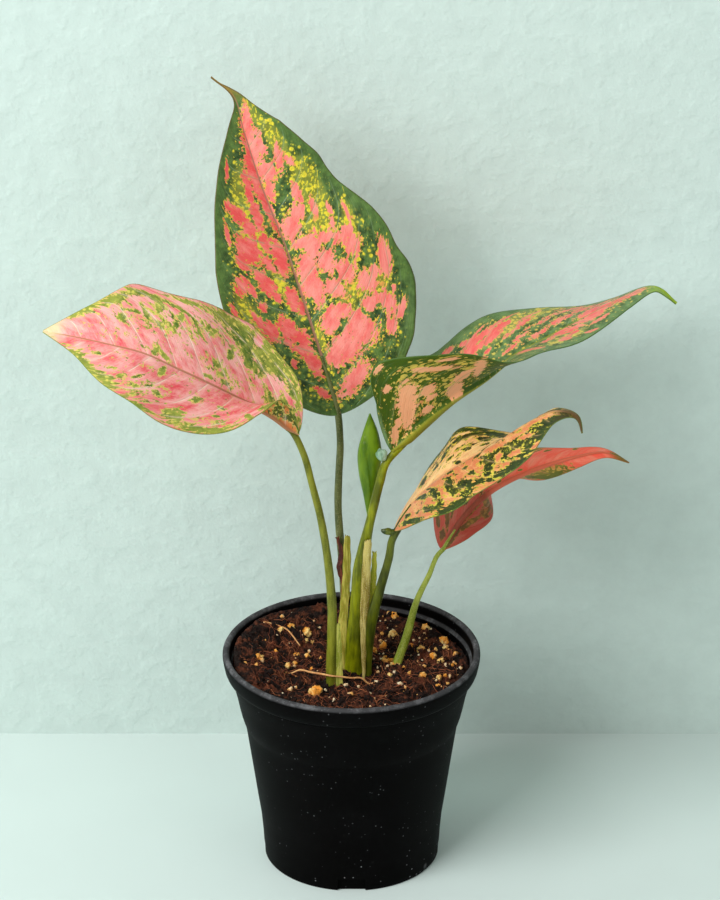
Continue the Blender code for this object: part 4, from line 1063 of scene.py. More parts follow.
# ---------------------------------------------------------------- pot
# (radius, height) in mm, from the middle of the floor up the inside, over the lip and down the outside
POT_INSIDE = ((0, 1.2), (9, 1.2), (11, 1.25), (12, 2.0), (14.4, 7.6), (15.2, 8.5), (16.2, 8.7), (40, 8.7),
              (42.6, 8.7), (43.2, 9.4), (44.6, 20), (46.8, 35), (49.2, 52), (52.1, 72), (52.9, 76.6),
              (53.3, 78), (54.5, 81), (55.5, 85), (57.0, 92), (59.2, 100.6), (59.7, 104), (59.7, 107.4),
              (60.0, 107.9), (60.7, 108.2), (61.0, 108.8), (61.3, 112))
POT_LIP = ((61.6, 113.6), (62.0, 114.4), (62.6, 114.9), (63.2, 115.0), (63.9, 114.8), (64.5, 114.3),
           (64.9, 113.6), (65.0, 112.8), (64.9, 111.6), (64.6, 109.6), (63.9, 106.2), (63.3, 104.7),
           (62.7, 104.1), (61.9, 104.0), (61.2, 104.1))
POT_OUTSIDE = ((60.9, 103.4), (60.5, 101), (58.1, 92), (56.7, 85), (55.8, 81.2), (55.5, 80.2), (54.9, 78.2),
               (54.5, 77.1), (54.2, 76.3), (53.9, 75.2), (53.3, 72), (50.4, 52), (48.0, 35), (46.2, 23),
               (45.3, 13), (44.9, 6), (44.7, 1.6), (44.5, 0.6), (44.1, 0.1), (43.6, 0.0), (41.4, 0.0),
               (41.0, 0.4), (40.9, 1.2), (40.8, 6.8), (40.4, 7.4), (39.6, 7.5), (17, 7.5), (16.2, 7.3),
               (15.6, 6.6), (13.0, 0.9), (12.2, 0.15), (11.4, 0.0), (0, 0))
# drain holes and notches in the foot: how many, how far out and how large, in metres
HOLES, HOLE_REACH, HOLE_RADIUS = 6, 0.028, 0.004
NOTCHES, NOTCH_REACH, NOTCH_SIZE = 4, 0.0462, (0.008, 0.014, 0.0136)


def build_scuffs(name):
    """Wear of black plastic: dull grain, pale dust specks, fine scratches, scuffs where it is handled, and a
    pale ring round the inner ridge that is partly painted highlight.
    Levels and reaches are in metres."""
    graph, given = start_pattern(name, {"Plastic": (0.01, 0.01, 0.01), "Scuff": (0.2, 0.2, 0.2), "Dust": 0.5,
                                        "Edge": 0.5})
    place = graph.place()
    level = graph.split(place)[2]
    out_to = graph.add("ShaderNodeVectorMath", {0: graph.place(1.0, 1.0, 0.0)}, operation="LENGTH")
    # Partly painted highlight: the shelf lays the scuff colour in a thin pale ring round the inner ridge
    # below the lip.
    shelf = graph.times(graph.step(level, 0.1070, 0.1078), graph.step(level, 0.1094, 0.1086))
    shelf = graph.times(shelf, graph.step(out_to.outputs["Value"], 0.0620, 0.0612))
    rim = graph.larger(graph.step(level, 0.1128, 0.1143), graph.times(shelf, 0.8))
    foot = graph.inverse(graph.step(level, 0.002, 0.04))
    broad = graph.noise(place, 38.0, 4.0, 0.6)
    grain = graph.noise(place, 2600.0, 2.0, 0.5)
    round_way = graph.noise(graph.place(260.0, 260.0, 4200.0), 1.0, 4.0, 0.65)
    scratches = graph.step(round_way, 0.60, 0.72)
    patchy = graph.step(graph.noise(place, 120.0, 5.0, 0.7), 0.47, 0.68)
    # worn holds the rim's scuffs and the ring on the shelf, which is partly painted highlight.
    worn = graph.times(rim, given["Edge"], graph.plus(graph.times(patchy, 0.6), graph.plus(0.35, scratches)))
    specks = graph.inverse(graph.step(graph.cells(place, 330.0)["Distance"], 0.06, 0.16))
    some = graph.step(graph.noise(place, 75.0, 3.0, 0.6), 0.47, 0.61)
    dust = graph.times(specks, some, given["Dust"])
    dust = graph.times(dust, graph.plus(0.45, foot))
    smudge = graph.inverse(graph.step(graph.cells(place, 95.0)["Distance"], 0.04, 0.20))
    smudge = graph.times(smudge, graph.times(foot, graph.step(broad, 0.5, 0.62)))
    dust = graph.larger(dust, graph.times(smudge, 0.42))
    haze = graph.times(graph.step(broad, 0.4, 0.75), 0.006)
    share = graph.plus(graph.times(worn, 0.95), dust, haze, clamp=True)
    rough = graph.plus(graph.swing(broad, 0.18), graph.times(worn, 0.2))
    height = graph.plus(graph.times(grain, 0.5), graph.times(round_way, 0.25))
    return graph.give(graph.mix(share, given["Plastic"], given["Scuff"]), rough, height)


def pot_material(settings):
    wear = {"Plastic": tuple(settings.plastic), "Scuff": tuple(settings.scuff), "Dust": 0.95, "Edge": 0.75}
    return lay_pattern(new_material("pot_plastic", Specular_IOR_Level=0.03), build_scuffs, wear, 0.54,
                       settings.grain, 0.0003)


def refine_profile(profile, longest):
    """The profile with its long runs cut into short ones, so that light falls evenly on them."""
    result = [profile[0]]
    for start, end in zip(profile[:-1], profile[1:]):
        pieces = max(1, math.ceil(math.dist(start, end) / longest))
        for index in range(1, pieces + 1):
            share = index / pieces
            result.append((start[0] + (end[0] - start[0]) * share, start[1] + (end[1] - start[1]) * share))
    return result


def places_round(count, reach):
    """Angles evenly round the pot, each with its place at that reach, in metres."""
    for index in range(count):
        angle = 2 * math.pi * index / count
        yield angle, (reach * math.cos(angle), reach * math.sin(angle))


def cut_from(piece, cutter):
    boolean = piece.modifiers.new("cut", "BOOLEAN")
    boolean.operation = "DIFFERENCE"
    boolean.solver = "EXACT"
    boolean.object = cutter
    apply_modifiers(piece)
    bpy.data.objects.remove(cutter, do_unlink=True)


# ---------------------------------------------------------------- potting mix
MIX_LEVEL = 104.5            # mm
MIX_RADIUS = 59.3            # mm, of its top
MIX_RINGS, MIX_SPOKES = 119, 400
EXTRA_GRAINS = 36            # large grains of perlite that the CAD doesn't have
noise.seed_set(10)           # without a seed of its own, noise_vector shapes other crumbs in each run
# hollows and heaps of the mix: place, reach and height, in mm
DENTS = ((6, -9, 7, -3.2), (-14, -25, 8, -2.0), (-3, 12, 8, -2.2), (14, -2, 6, -1.6), (-30, -30, 9, -1.2),
         (26, 2, 7, 1.6), (-34, 26, 10, 1.4), (30, -18, 12, 0.8))


def mix_level(x, y):
    """Height in mm of the mix's surface, without its crumbs."""
    level = MIX_LEVEL - 0.035 * x - 0.02 * y
    level += 0.8 * np.sin(x / 7.5 + 1) * np.cos(y / 9) + 0.6 * np.sin(y / 6.3 + x / 11)
    for dent_x, dent_y, reach, depth in DENTS:
        level = level + depth * np.exp(-((x - dent_x) ** 2 + (y - dent_y) ** 2) / reach**2)
    return level


def bank(x, y):
    """How far in mm the mix is heaped against the pot's wall, highest at the back left."""
    heading = 0.6 + 0.4 * np.cos(np.arctan2(y, x) - 2.45)
    return 8.6 * smooth_step(22, 59, np.hypot(x, y)) ** 1.3 * heading ** 1.3


def crumb_height(x, y):
    """Clods and crumbs of peat, in mm above or below the mix's level."""
    lumps = noise.fractal(Vector((x * 0.16, y * 0.16, 3.1)), 0.8, 2.1, 4)
    warp = noise.noise_vector(Vector((x * 0.3, y * 0.3, 5.0))) * 0.35
    near, second = noise.voronoi(Vector((x * 0.30, y * 0.30, 0.5)) + warp)[0][:2]
    clod = min(1.0, (second - near) * 2.4)
    small, next_small = noise.voronoi(Vector((x * 0.8, y * 0.8, 4.5)) + warp)[0][:2]
    crumb = min(1.0, (next_small - small) * 2.0)
    return 1.5 * lumps + 1.5 * clod + 0.65 * crumb - 1.5


def surface_height(x, y):
    return float(mix_level(x, y) + bank(x, y)) + crumb_height(x, y)


def build_peat(name):
    """Damp peat and coir: red-brown crumbs, hollows made nearly black by dark peat and painted shade, and a
    few straw-coloured threads.
    """
    graph, given = start_pattern(name, {"Peat": (0.03, 0.01, 0.006), "Coir": (0.16, 0.05, 0.02),
                                        "Straw": (0.42, 0.2, 0.09)})
    place = graph.place()
    clumps = graph.noise(place, 130.0, 5.0, 0.68)
    crumbs = graph.cells(place, 620.0)["Distance"]
    along_x = graph.noise(graph.place(900.0, 3400.0, 900.0), 1.0, 3.0, 0.6, 1.2)
    along_y = graph.noise(graph.place(3400.0, 900.0, 900.0), 1.0, 3.0, 0.6, 1.2)
    thread = graph.larger(graph.step(along_x, 0.62, 0.74), graph.step(along_y, 0.64, 0.76))
    warm = graph.step(clumps, 0.46, 0.61)
    colour = graph.mix(warm, given["Peat"], given["Coir"])
    # Painted shade over the peat's own dark colour: the colour darkens towards peat in the hollows between
    # crumbs, where the bump is lowest.
    colour = graph.mix(graph.times(graph.step(crumbs, 0.1, 0.7), 0.45), colour, given["Peat"])
    colour = graph.mix(graph.times(thread, 0.35), colour, given["Straw"])
    height = graph.minus(graph.noise(place, 900.0, 4.0, 0.7), graph.times(crumbs, 0.7))
    height = graph.plus(height, graph.times(thread, 0.4))
    return graph.give(colour, graph.times(thread, -0.2), height)


def grain_material(name, cream, amber):
    """Perlite stained by the mix: cream with amber patches and dark pits."""
    surface, graph, shader = new_material(name, 0.85, Specular_IOR_Level=0.3)
    place = graph.place()
    stain = graph.step(graph.noise(place, 190.0, 3.0, 0.6), 0.38, 0.60)
    pits = graph.step(graph.noise(place, 1500.0, 3.0, 0.65), 0.56, 0.68)
    colour = graph.mix(stain, cream, amber)
    colour = graph.mix(graph.times(pits, 0.55), colour, srgb(120, 64, 22))
    graph.feed(shader.inputs["Base Color"], colour)
    height = graph.minus(graph.noise(place, 1100.0, 4.0, 0.7), graph.times(pits, 0.6))
    add_bump(graph, shader, height, 0.8, 0.0005)
    return surface


def lumpy_ball(name, subdivisions, seed, lump=0.28, rough=0.10):
    """An icosphere of radius 1 pushed in and out by noise."""
    deselect()
    bpy.ops.mesh.primitive_ico_sphere_add(subdivisions=subdivisions, radius=1)
    ball = newest(name)
    shift = Vector((seed * 3.7, seed * 1.9, 0))
    for vert in ball.data.vertices:
        swell = 1 + lump * noise.noise(vert.co * 1.3 + shift) + rough * noise.noise(vert.co * 4.5 + shift)
        vert.co = vert.co * swell
    return ball


def tumble(chooser):
    """A random turn, as a matrix."""
    return Euler([chooser.uniform(0, 6.28) for _ in range(3)]).to_matrix().to_4x4()


def set_down(x, y, lift):
    """A matrix that moves a thing to lift mm above the mix at (x, y) in mm."""
    return Matrix.Translation(Vector((x, y, surface_height(x, y) + lift)) * MM)


def scaled(x, y, z):
    """A matrix that scales a thing of radius 1 to these half-sizes in metres."""
    return Matrix.Diagonal((x, y, z, 1))


def gather(name, masters, placements):
    """One mesh of many copies of the masters, which are then removed. A placement is (number of the
    master, matrix)."""
    vertices, faces, count = [], [], 0
    shapes = []
    for master in masters:
        mesh = master.data
        places = np.zeros(len(mesh.vertices) * 3)
        mesh.vertices.foreach_get("co", places)
        shapes.append((places.reshape(-1, 3), [tuple(face.vertices) for face in mesh.polygons]))
        bpy.data.objects.remove(master, do_unlink=True)
    for number, matrix in placements:
        places, rings = shapes[number]
        turn = np.array(matrix.to_3x3())
        vertices.append(places @ turn.T + np.array(matrix.translation))
        faces.extend(tuple(index + count for index in ring) for ring in rings)
        count += len(places)
    mesh = bpy.data.meshes.new(name)
    mesh.from_pydata(np.concatenate(vertices).tolist(), [], faces)
    piece = bpy.data.objects.new(name, mesh)
    bpy.context.scene.collection.objects.link(piece)
    activate(piece)
    bpy.ops.object.shade_smooth()
    return piece


# where stalks stand in the mix, and how far loose things keep from them, in mm
STALK_FEET = ((3.5, 1.5, 9), (-9, -17, 5), (23, 6.5, 4))


def random_place(chooser, reach):
    """An even spread over a disc, clear of the stalks."""
    while True:
        radius = reach * math.sqrt(chooser.random())
        angle = chooser.uniform(0, 2 * math.pi)
        x, y = radius * math.cos(angle), radius * math.sin(angle)
        if all(math.hypot(x - foot_x, y - foot_y) > clear for foot_x, foot_y, clear in STALK_FEET):
            return x, y


# ---------------------------------------------------------------- operators
class EVERGREEN_OT_pot(bpy.types.Operator):
    """Turn the pot, cut its drain holes and foot notches"""
    bl_idname = "evergreen.pot"
    bl_label = "Pot"

    def execute(self, context):
        settings = context.scene.evergreen_pot
        profile = refine_profile(list(POT_INSIDE + POT_LIP + POT_OUTSIDE), 3.0)
        pot = turned("nursery_pot", profile, settings.segments)
        for _, place in places_round(HOLES, HOLE_REACH):
            deselect()
            bpy.ops.mesh.primitive_cylinder_add(vertices=40, radius=HOLE_RADIUS, depth=0.006,
                                                location=(*place, 0.0081))
            cut_from(pot, context.active_object)
        for angle, place in places_round(NOTCHES, NOTCH_REACH):
            deselect()
            bpy.ops.mesh.primitive_cube_add(size=1, location=(*place, 0), rotation=(0, 0, angle),
                                            scale=NOTCH_SIZE)
            cut_from(pot, context.active_object)
        activate(pot)
        bpy.ops.object.shade_smooth_by_angle(angle=math.radians(40))
        finish_piece(pot, pot_material(settings), ["pot"])
        return {"FINISHED"}


class EVERGREEN_OT_mix(bpy.types.Operator):
    """Fill the pot with potting mix, and strew it with crumbs, perlite, bark and fibres"""
    bl_idname = "evergreen.mix"
    bl_label = "Potting mix"

    def execute(self, context):
        settings = context.scene.evergreen_mix
        colours = {"Peat": tuple(settings.peat), "Coir": tuple(settings.coir), "Straw": srgb(186, 128, 84)}
        surface = lay_pattern(new_material("potting_mix", Specular_IOR_Level=0.25), build_peat, colours, 0.95,
                              0.9, 0.0008)
        self.block(surface)
        chooser = random.Random(settings.seed)
        self.crumbs(settings, chooser, surface)
        self.large_grains(chooser)
        self.small_grains(settings, chooser)
        self.bark()
        self.fibres(settings, chooser)
        return {"FINISHED"}

    def block(self, surface):
        """The block of mix, its top raised into lumps."""
        rings = [(radius, MIX_LEVEL) for radius in np.linspace(0, MIX_RADIUS, MIX_RINGS)]
        side = [(59.5, MIX_LEVEL - 1.2), (59.0, 101), (54.2, 81.5), (52.6, 77.2), (51.7, 72), (43.0, 9.2),
                (15.3, 9.2), (10.6, 1.6), (0, 1.6)]
        block = turned("mix_block", rings + side, MIX_SPOKES)
        for vert in block.data.vertices:
            if vert.co.z > (MIX_LEVEL - 0.5) * MM:
                x, y = vert.co.x / MM, vert.co.y / MM
                fade = 0.25 + 0.75 * float(smooth_step(MIX_RADIUS, 57.5, math.hypot(x, y)))
                level = float(mix_level(x, y) + bank(x, y))
                vert.co.z = (level - 0.8 * (1 - fade) + crumb_height(x, y) * fade) * MM
        finish_piece(block, surface, ["potting_mix", "cane"])

    def crumbs(self, settings, chooser, surface):
        """Loose crumbs of peat and bark, dark and small."""
        masters = [lumpy_ball(f"crumb_{index}", 1, index + 20, 0.9, 0.4) for index in range(4)]
        placements = []
        for _ in range(settings.crumbs):
            x, y = random_place(chooser, 57.5)
            size = chooser.uniform(0.35, 1.35) * chooser.choice((1, 1, 1.5))
            matrix = set_down(x, y, 0.25 * size) @ tumble(chooser)
            stretch = (chooser.uniform(0.7, 1.6), chooser.uniform(0.6, 1.1), chooser.uniform(0.5, 0.9))
            matrix = matrix @ scaled(*(s * size * MM for s in stretch))
            placements.append((chooser.randrange(len(masters)), matrix))
        finish_piece(gather("mix_crumbs", masters, placements), surface, [])

    def large_grains(self, chooser):
        """Large grains of perlite: one where the CAD has each, and some more round them."""
        nodes = sorted(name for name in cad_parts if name.startswith("perlite_"))
        masters = [lumpy_ball(f"grain_{index}", 4, index + 1, 0.6, 0.32) for index in range(4)]
        placements = []
        for index, node in enumerate(nodes):
            low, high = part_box(node)
            size = (high - low) / 2
            turn = Euler((index * 1.3, index * 0.7, index * 2.1)).to_matrix().to_4x4()
            middle = (low + high) / 2
            middle.z = max(middle.z, (surface_height(middle.x / MM, middle.y / MM) + 0.6) * MM)
            radius = size.length / 1.73
            matrix = Matrix.Translation(middle) @ turn @ scaled(radius, radius, radius)
            placements.append((index % len(masters), matrix))
        for _ in range(EXTRA_GRAINS):
            sector, reach = chooser.choice(((-0.5, 1.2), (-0.3, 1.3), (2.2, 3.3))), chooser.uniform(17, 52)
            angle = chooser.uniform(*sector)
            x, y = reach * math.cos(angle), reach * math.sin(angle)
            size = chooser.uniform(0.9, 1.9)
            matrix = set_down(x, y, 0.35 * size) @ tumble(chooser)
            matrix = matrix @ scaled(size * MM, size * MM * 0.85, size * MM * 0.75)
            placements.append((chooser.randrange(len(masters)), matrix))
        surface = grain_material("perlite", srgb(246, 212, 134), srgb(236, 152, 50))
        finish_piece(gather("perlite_large", masters, placements), surface, nodes)

    def small_grains(self, settings, chooser):
        """A spread of small, paler grains of perlite."""
        masters = [lumpy_ball(f"bit_{index}", 1 + index // 3, index + 9, 0.8, 0.4) for index in range(6)]
        placements = []
        for _ in range(settings.small_grains):
            x, y = random_place(chooser, 56)
            if x < 8 and chooser.random() < 0.5:
                x, y = abs(x), abs(y)
            size = chooser.choice((0.4, 0.5, 0.5, 0.7, 0.9, 1.2)) * chooser.uniform(0.8, 1.2)
            matrix = set_down(x, y, 0.3 * size) @ tumble(chooser)
            bit = chooser.randrange(3) + (3 if size > 0.8 else 0)
            placements.append((bit, matrix @ scaled(size * MM, size * MM * 0.8, size * MM * 0.8)))
        surface = grain_material("perlite_pale", srgb(244, 226, 188), srgb(236, 172, 90))
        finish_piece(gather("perlite_small", masters, placements), surface, [])

    def bark(self):
        """The bark chip."""
        low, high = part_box("bark_chip")
        chip = lumpy_ball("bark_piece", 4, 5, 0.4, 0.3)
        chip.data.transform(Matrix.Translation((low + high) / 2) @ Matrix.Rotation(0.6, 4, "Z")
                            @ scaled(0.0031, 0.0015, 0.0009))
        bark = mottled_material("bark", srgb(110, 60, 34), srgb(176, 112, 66), srgb(60, 30, 18), 0.85,
                                bump=0.8, subsurface=0.0)
        activate(chip)
        bpy.ops.object.shade_smooth()
        finish_piece(chip, bark, ["bark_chip"])

    def fibres(self, settings, chooser):
        """Thin coir threads that wander over the surface."""
        paths, radii, steps = [], [], 8
        for _ in range(settings.fibres):
            x, y = random_place(chooser, 55)
            heading = chooser.uniform(0, 2 * math.pi)
            length = chooser.uniform(5, 20)
            lift = chooser.uniform(0.1, 1.2)
            size = chooser.uniform(0.08, 0.2)
            path = []
            for index in range(steps + 1):
                path.append((x, y, surface_height(x, y) + 0.25 + lift * math.sin(math.pi * (index / steps))))
                heading += chooser.uniform(-0.5, 0.5)
                x += length / steps * math.cos(heading)
                y += length / steps * math.sin(heading)
            if all(math.hypot(px, py) < 57 for px, py, _ in path):
                paths.append(path)
                radii.append([size * (1 - 0.5 * index / steps) for index in range(steps + 1)])
        piece = wires("mix_fibres", paths, radii)
        surface = mottled_material("coir", srgb(96, 40, 22), srgb(170, 100, 62), srgb(60, 24, 14), 0.7,
                                   bump=0.1, subsurface=0.0)
        finish_piece(piece, surface, [])


# points of the surface roots, in mm; None for a point that lies on the mix
ROOTS = {
    "root_long": ((-35, -11, None), (-31, -10.5, None), (-26, -11, 108.8), (-20, -15, 109.6),
                  (-14, -19, 110.6), (-10, -20.8, 110.7), (-5, -19, 109.2), (0, -17.6, 107.8),
                  (5, -15.5, 106.6), (9, -15, None), (12, -14.5, None)),
    "root_left": ((-45, 32, None), (-39, 31, None), (-33, 27, None), (-26, 18, None)),
    "root_right": ((21, -24, None), (24, -19, None), (28, -14, None), (30, -9, None)),
}
# dark, pale and fleck colour, and roughness
ROOT_SKINS = {
    "root_reddish": (srgb(120, 56, 34), srgb(190, 110, 70), srgb(70, 34, 20), 0.6),
    "root_tan": (srgb(190, 128, 76), srgb(226, 172, 112), srgb(150, 90, 50), 0.5),
}


class EVERGREEN_OT_roots(bpy.types.Operator):
    """Lay the surface roots on the mix"""
    bl_idname = "evergreen.roots"
    bl_label = "Roots"

    def execute(self, context):
        for name, points in ROOTS.items():
            seated = [(x, y, surface_height(x, y) + 0.5 if z is None else z) for x, y, z in points]
            size = 0.52 if name == "root_long" else 0.42
            last = len(points) - 1
            radii = [size * (0.65 + 0.35 * math.sin(math.pi * index / last) + 0.08 * math.sin(5 * index))
                     for index in range(last + 1)]
            piece = rod("surface_" + name, seated, radii, 12, 70)
            slot = "root_reddish" if name == "root_right" else "root_tan"
            finish_piece(piece, mottled_material(name, *ROOT_SKINS[slot]), [name])
        return {"FINISHED"}


class EVERGREEN_OT_blades(bpy.types.Operator):
    """Shape the five leaf blades and paint their markings"""
    bl_idname = "evergreen.blades"
    bl_label = "Leaf blades"

    def execute(self, context):
        settings = context.scene.evergreen_leaf
        for index, (name, blade) in enumerate(BLADES.items()):
            piece = build_blade("blade_" + name, blade, settings)
            surface = leaf_material("leaf_" + name, blade, settings, PATTERN_SHIFT * index)
            finish_piece(piece, surface, ["leaf_" + name])
        for name, (place, size, turn, dark, light) in LOBES.items():
            lobe = lumpy_ball("rolled_lobe_" + name, 4, 3, 0.3, 0.06)
            seat = Matrix.Translation(Vector(place) * MM) @ Matrix.Rotation(math.radians(turn), 4, "Y")
            lobe.data.transform(seat @ scaled(*(Vector(size) * MM)))
            bpy.ops.object.shade_smooth()
            # The upper right lobe's pale blue-green colours are partly painted reflection.
            surface = mottled_material("lobe_" + name, dark, light, dark, 0.25, flecks=0.3, streak=0.5)
            finish_piece(lobe, surface, [])
        return {"FINISHED"}


class EVERGREEN_OT_stalks(bpy.types.Operator):
    """Shape the stalks and the furled new leaf"""
    bl_idname = "evergreen.stalks"
    bl_label = "Stalks"

    def execute(self, context):
        settings = context.scene.evergreen_stalk
        for name, (points, radii) in STALKS.items():
            points, radii = self.with_keel(BLADES[name], points, radii)
            outline = stalk_outline(0.16, 0.1) if name == "upper_right" else stalk_outline(0.05, 0.0)
            piece = rod("petiole_" + name, points, radii, settings.sides, 150, outline)
            flecks = 0.25 if name in ("upper_right", "front_right") else 0.7
            surface = mottled_material("stalk_" + name, *STALK_SKINS[name], settings.gloss, flecks=flecks,
                                       streak=0.3)
            finish_piece(piece, surface, ["stalk_" + name])
        spear = rod("spear", SPEAR_PATH, SPEAR_RADII, 48, 90, self.furled)
        surface = mottled_material("new_leaf", srgb(70, 104, 4), srgb(110, 140, 12), srgb(60, 96, 6), 0.34,
                                   flecks=0.05, streak=0.25, subsurface=0.2)
        finish_piece(spear, surface, ["new_leaf"])
        return {"FINISHED"}

    @staticmethod
    def with_keel(blade, points, radii):
        """The stalk's path led on under its blade as a tapering keel, and down into the mix."""
        face = np.array(blade.face, float)
        keel, forward = smooth_path(blade.midrib, (blade.rib / 3) ** 1.5 * np.array([0.24, 0.16, 0.09, 0.03]))
        up = face - forward * (forward @ face)[:, None]
        up /= np.linalg.norm(up, axis=1, keepdims=True)
        sunk = np.array([0.35, 0.5, 0.7, 0.9])[:, None] * radii[0]
        foot = np.array(points[-1]) + 0.8 * (np.array(points[-1]) - np.array(points[-2]))
        path = (*map(tuple, keel - up * sunk), *points[1:], tuple(foot))
        total = path_length(path)
        joint = path_length((*path[:4], points[0])) / total
        own = 1 - joint - np.linalg.norm(foot - np.array(points[-1])) / total
        at = np.linspace(0, 1, 60)
        below = smooth_values(radii, (at - joint) / own)
        return path, tuple(np.where(at < joint, radii[0] * (0.45 + 0.55 * smooth_step(0, joint, at)), below))

    @staticmethod
    def furled(angle, along):
        """Section of the furled leaf: a roll with one overlapping edge."""
        turn = (angle + 2.4 * along + 0.6) % (2 * math.pi)
        roll = 0.14 * (turn / (2 * math.pi)) - 0.07
        return (0.95 + roll) * (1 + 0.16 * np.cos(2 * angle))


class EVERGREEN_OT_sheaths(bpy.types.Operator):
    """Shape the old sheaths at the foot of the stalks"""
    bl_idname = "evergreen.sheaths"
    bl_label = "Old sheaths"

    def execute(self, context):
        for name, (line, face, width, curl, pale, dark, fleck) in SHEATHS.items():
            piece = self.strip("old_" + name, line, face, width, curl)
            surface = mottled_material(name, dark, pale, fleck, 0.72, flecks=0.5, streak=1.2, fibre=1.0,
                                       bump=0.6, subsurface=0.2)
            finish_piece(piece, surface, [name])
        return {"FINISHED"}

    @staticmethod
    def strip(name, line, face, width, curl):
        """A thin curved strip with a frayed top edge."""
        half = Half(width=width, rise=(0, 0), curl=curl)
        rows, frayed_rows = 90, 12
        across = np.linspace(-1, 1, 17)
        points = strip_points(Strip(line, face, half, half, 0.02), np.linspace(0, 1, rows + 1), across)[0]
        chooser = random.Random(name)
        fray = np.array([chooser.uniform(0, 1) for _ in across])
        points[:frayed_rows, :, 2] -= (1 - np.arange(frayed_rows) / frayed_rows)[:, None] * (1.6 * fray)
        points[:, :, 0] += 0.12 * np.sin(np.arange(rows + 1) * 0.55)[:, None] * np.abs(across)[None, :]
        piece = sheet(name, points * MM)
        thicken(piece, SHEATH_THICKNESS * MM, 0)
        return piece


CAMERA_PLACE = (0.0043, -2.0098, 1.1702)     # m
CAMERA_TILT = 64.83                          # degrees up from straight down
LENS, SENSOR = 180, 36                       # mm


class EVERGREEN_OT_stage(bpy.types.Operator):
    """Set the camera, the pale floor and wall, and the soft lights"""
    bl_idname = "evergreen.stage"
    bl_label = "Stage"

    def execute(self, context):
        settings = context.scene.evergreen_stage
        self.camera(context)
        self.room(settings)
        self.lights(context, settings)
        context.scene.view_settings.view_transform = "Standard"
        return {"FINISHED"}

    @staticmethod
    def camera(context):
        deselect()
        bpy.ops.object.camera_add(location=CAMERA_PLACE, rotation=(math.radians(CAMERA_TILT), 0, 0))
        camera = newest("camera")
        camera.data.lens = LENS
        camera.data.sensor_width = SENSOR
        context.scene.camera = camera

    @staticmethod
    def screen(name, surface, **place):
        """A plane of the stage."""
        deselect()
        bpy.ops.mesh.primitive_plane_add(**place)
        plane = newest(name)
        plane.data.materials.append(surface)

    def room(self, settings):
        """A floor all round, and a wall behind that is only seen from the front."""
        surface, graph, shader = new_material("floor", 0.75, Specular_IOR_Level=0.3)
        place = graph.place()
        soft = graph.step(graph.noise(place, 3.0, 4.0, 0.6), 0.3, 0.7)
        paler = tuple(min(1.0, c * 1.06) for c in settings.floor)
        graph.feed(shader.inputs["Base Color"], graph.mix(soft, tuple(settings.floor), paler))
        add_bump(graph, shader, graph.noise(place, 160.0, 3.0, 0.6), 0.08, 0.0005)
        self.screen("floor", surface, size=8)

        surface, graph, shader = new_material("wall", 0.9, Specular_IOR_Level=0.1)
        place = graph.place()
        rough_coat = graph.noise(place, 55.0, 7.0, 0.66)
        paler = tuple(min(1.0, c * 1.07) for c in settings.wall)
        colour = graph.mix(graph.step(rough_coat, 0.3, 0.7), tuple(settings.wall), paler)
        graph.feed(shader.inputs["Base Color"], colour)
        ridges = graph.step(graph.noise(place, 130.0, 2.0, 0.5), 0.42, 0.70)
        height = graph.plus(rough_coat, graph.times(ridges, 0.4))
        add_bump(graph, shader, height, 0.24, 0.0022)
        clear = graph.add("ShaderNodeBsdfTransparent").outputs[0]
        back = graph.add("ShaderNodeNewGeometry").outputs["Backfacing"]
        shown = graph.add("ShaderNodeMixShader", {0: back, 1: shader.outputs[0], 2: clear}).outputs[0]
        graph.feed(surface.node_tree.nodes["Material Output"].inputs[0], shown)
        self.screen("wall", surface, size=3, location=(0, 0.121, 1.5), rotation=(math.radians(90), 0, 0))

    @staticmethod
    def lights(context, settings):
        aim = Vector((0.0, 0.0, 0.2))
        softboxes = (("key", (-1.25, -1.25, 1.55), 1.5, settings.key_power),
                     ("fill", (1.5, -1.6, 1.2), 1.4, settings.fill_power))
        for name, place, size, power in softboxes:
            deselect()
            bpy.ops.object.light_add(type="AREA", location=place)
            light = newest(name)
            light.data.size = size
            light.data.energy = power
            light.rotation_euler = (aim - Vector(place)).to_track_quat("-Z", "Y").to_euler()
        world = bpy.data.worlds.new("world")
        context.scene.world = world
        world.use_nodes = True
        sky = world.node_tree.nodes["Background"]
        sky.inputs[0].default_value = (1.0, 0.985, 0.955, 1.0)
        sky.inputs[1].default_value = settings.sky


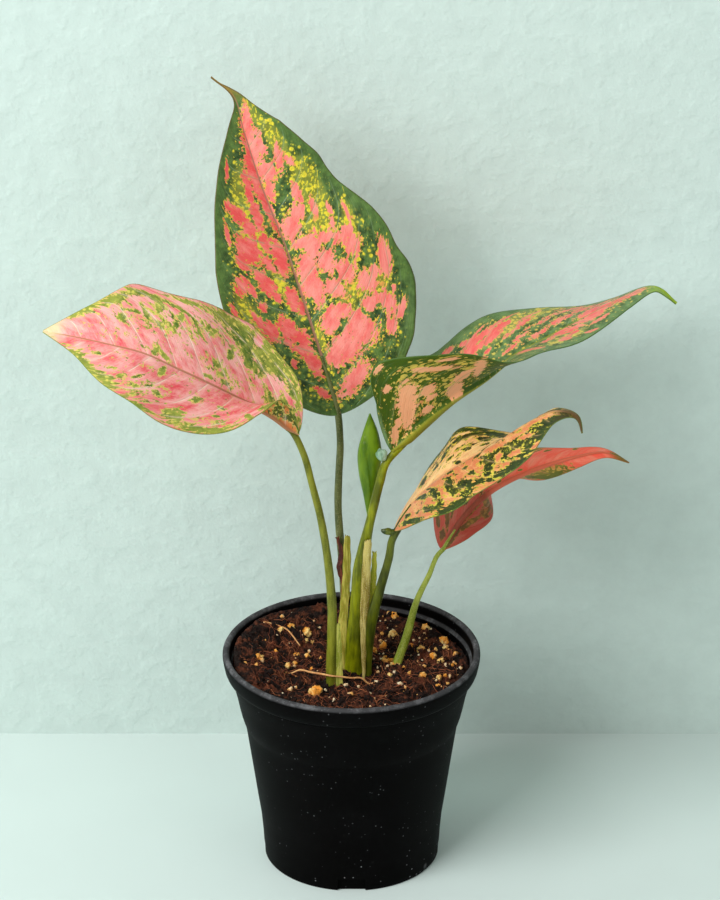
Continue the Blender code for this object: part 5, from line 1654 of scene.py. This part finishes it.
class EVERGREEN_PT_panel(bpy.types.Panel):
    """Lists every piece of the plant and the stage"""
    bl_idname = "EVERGREEN_PT_panel"
    bl_label = "Potted Chinese Evergreen"
    bl_space_type = "VIEW_3D"
    bl_region_type = "UI"
    bl_category = "Evergreen"

    def draw(self, context):
        for settings, label, operator in ((context.scene.evergreen_pot, "Pot", "evergreen.pot"),
                                          (context.scene.evergreen_mix, "Potting mix", "evergreen.mix"),
                                          (None, "Roots", "evergreen.roots"),
                                          (context.scene.evergreen_leaf, "Leaf blades", "evergreen.blades"),
                                          (context.scene.evergreen_stalk, "Stalks", "evergreen.stalks"),
                                          (None, "Old sheaths", "evergreen.sheaths"),
                                          (context.scene.evergreen_stage, "Stage", "evergreen.stage")):
            box = self.layout.box()
            if settings:
                for name in settings.bl_rna.properties.keys():
                    if name not in ("rna_type", "name"):
                        box.prop(settings, name)
            box.operator(operator, text=label)


SETTINGS = {"evergreen_leaf": LeafSettings, "evergreen_stalk": StalkSettings, "evergreen_pot": PotSettings,
            "evergreen_mix": MixSettings, "evergreen_stage": StageSettings}
OPERATORS = (EVERGREEN_OT_pot, EVERGREEN_OT_mix, EVERGREEN_OT_roots, EVERGREEN_OT_blades, EVERGREEN_OT_stalks,
             EVERGREEN_OT_sheaths, EVERGREEN_OT_stage)


def register():
    for kind in (*SETTINGS.values(), *OPERATORS, EVERGREEN_PT_panel):
        bpy.utils.register_class(kind)
    for name, kind in SETTINGS.items():
        setattr(bpy.types.Scene, name, PointerProperty(type=kind))


def unregister():
    for name in SETTINGS:
        delattr(bpy.types.Scene, name)
    for kind in reversed((*SETTINGS.values(), *OPERATORS, EVERGREEN_PT_panel)):
        bpy.utils.unregister_class(kind)


def main():
    register()
    bpy.ops.evergreen.stage()
    bpy.ops.evergreen.pot()
    bpy.ops.evergreen.mix()
    bpy.ops.evergreen.roots()
    bpy.ops.evergreen.blades()
    bpy.ops.evergreen.stalks()
    bpy.ops.evergreen.sheaths()


if __name__ == "__main__":
    main()
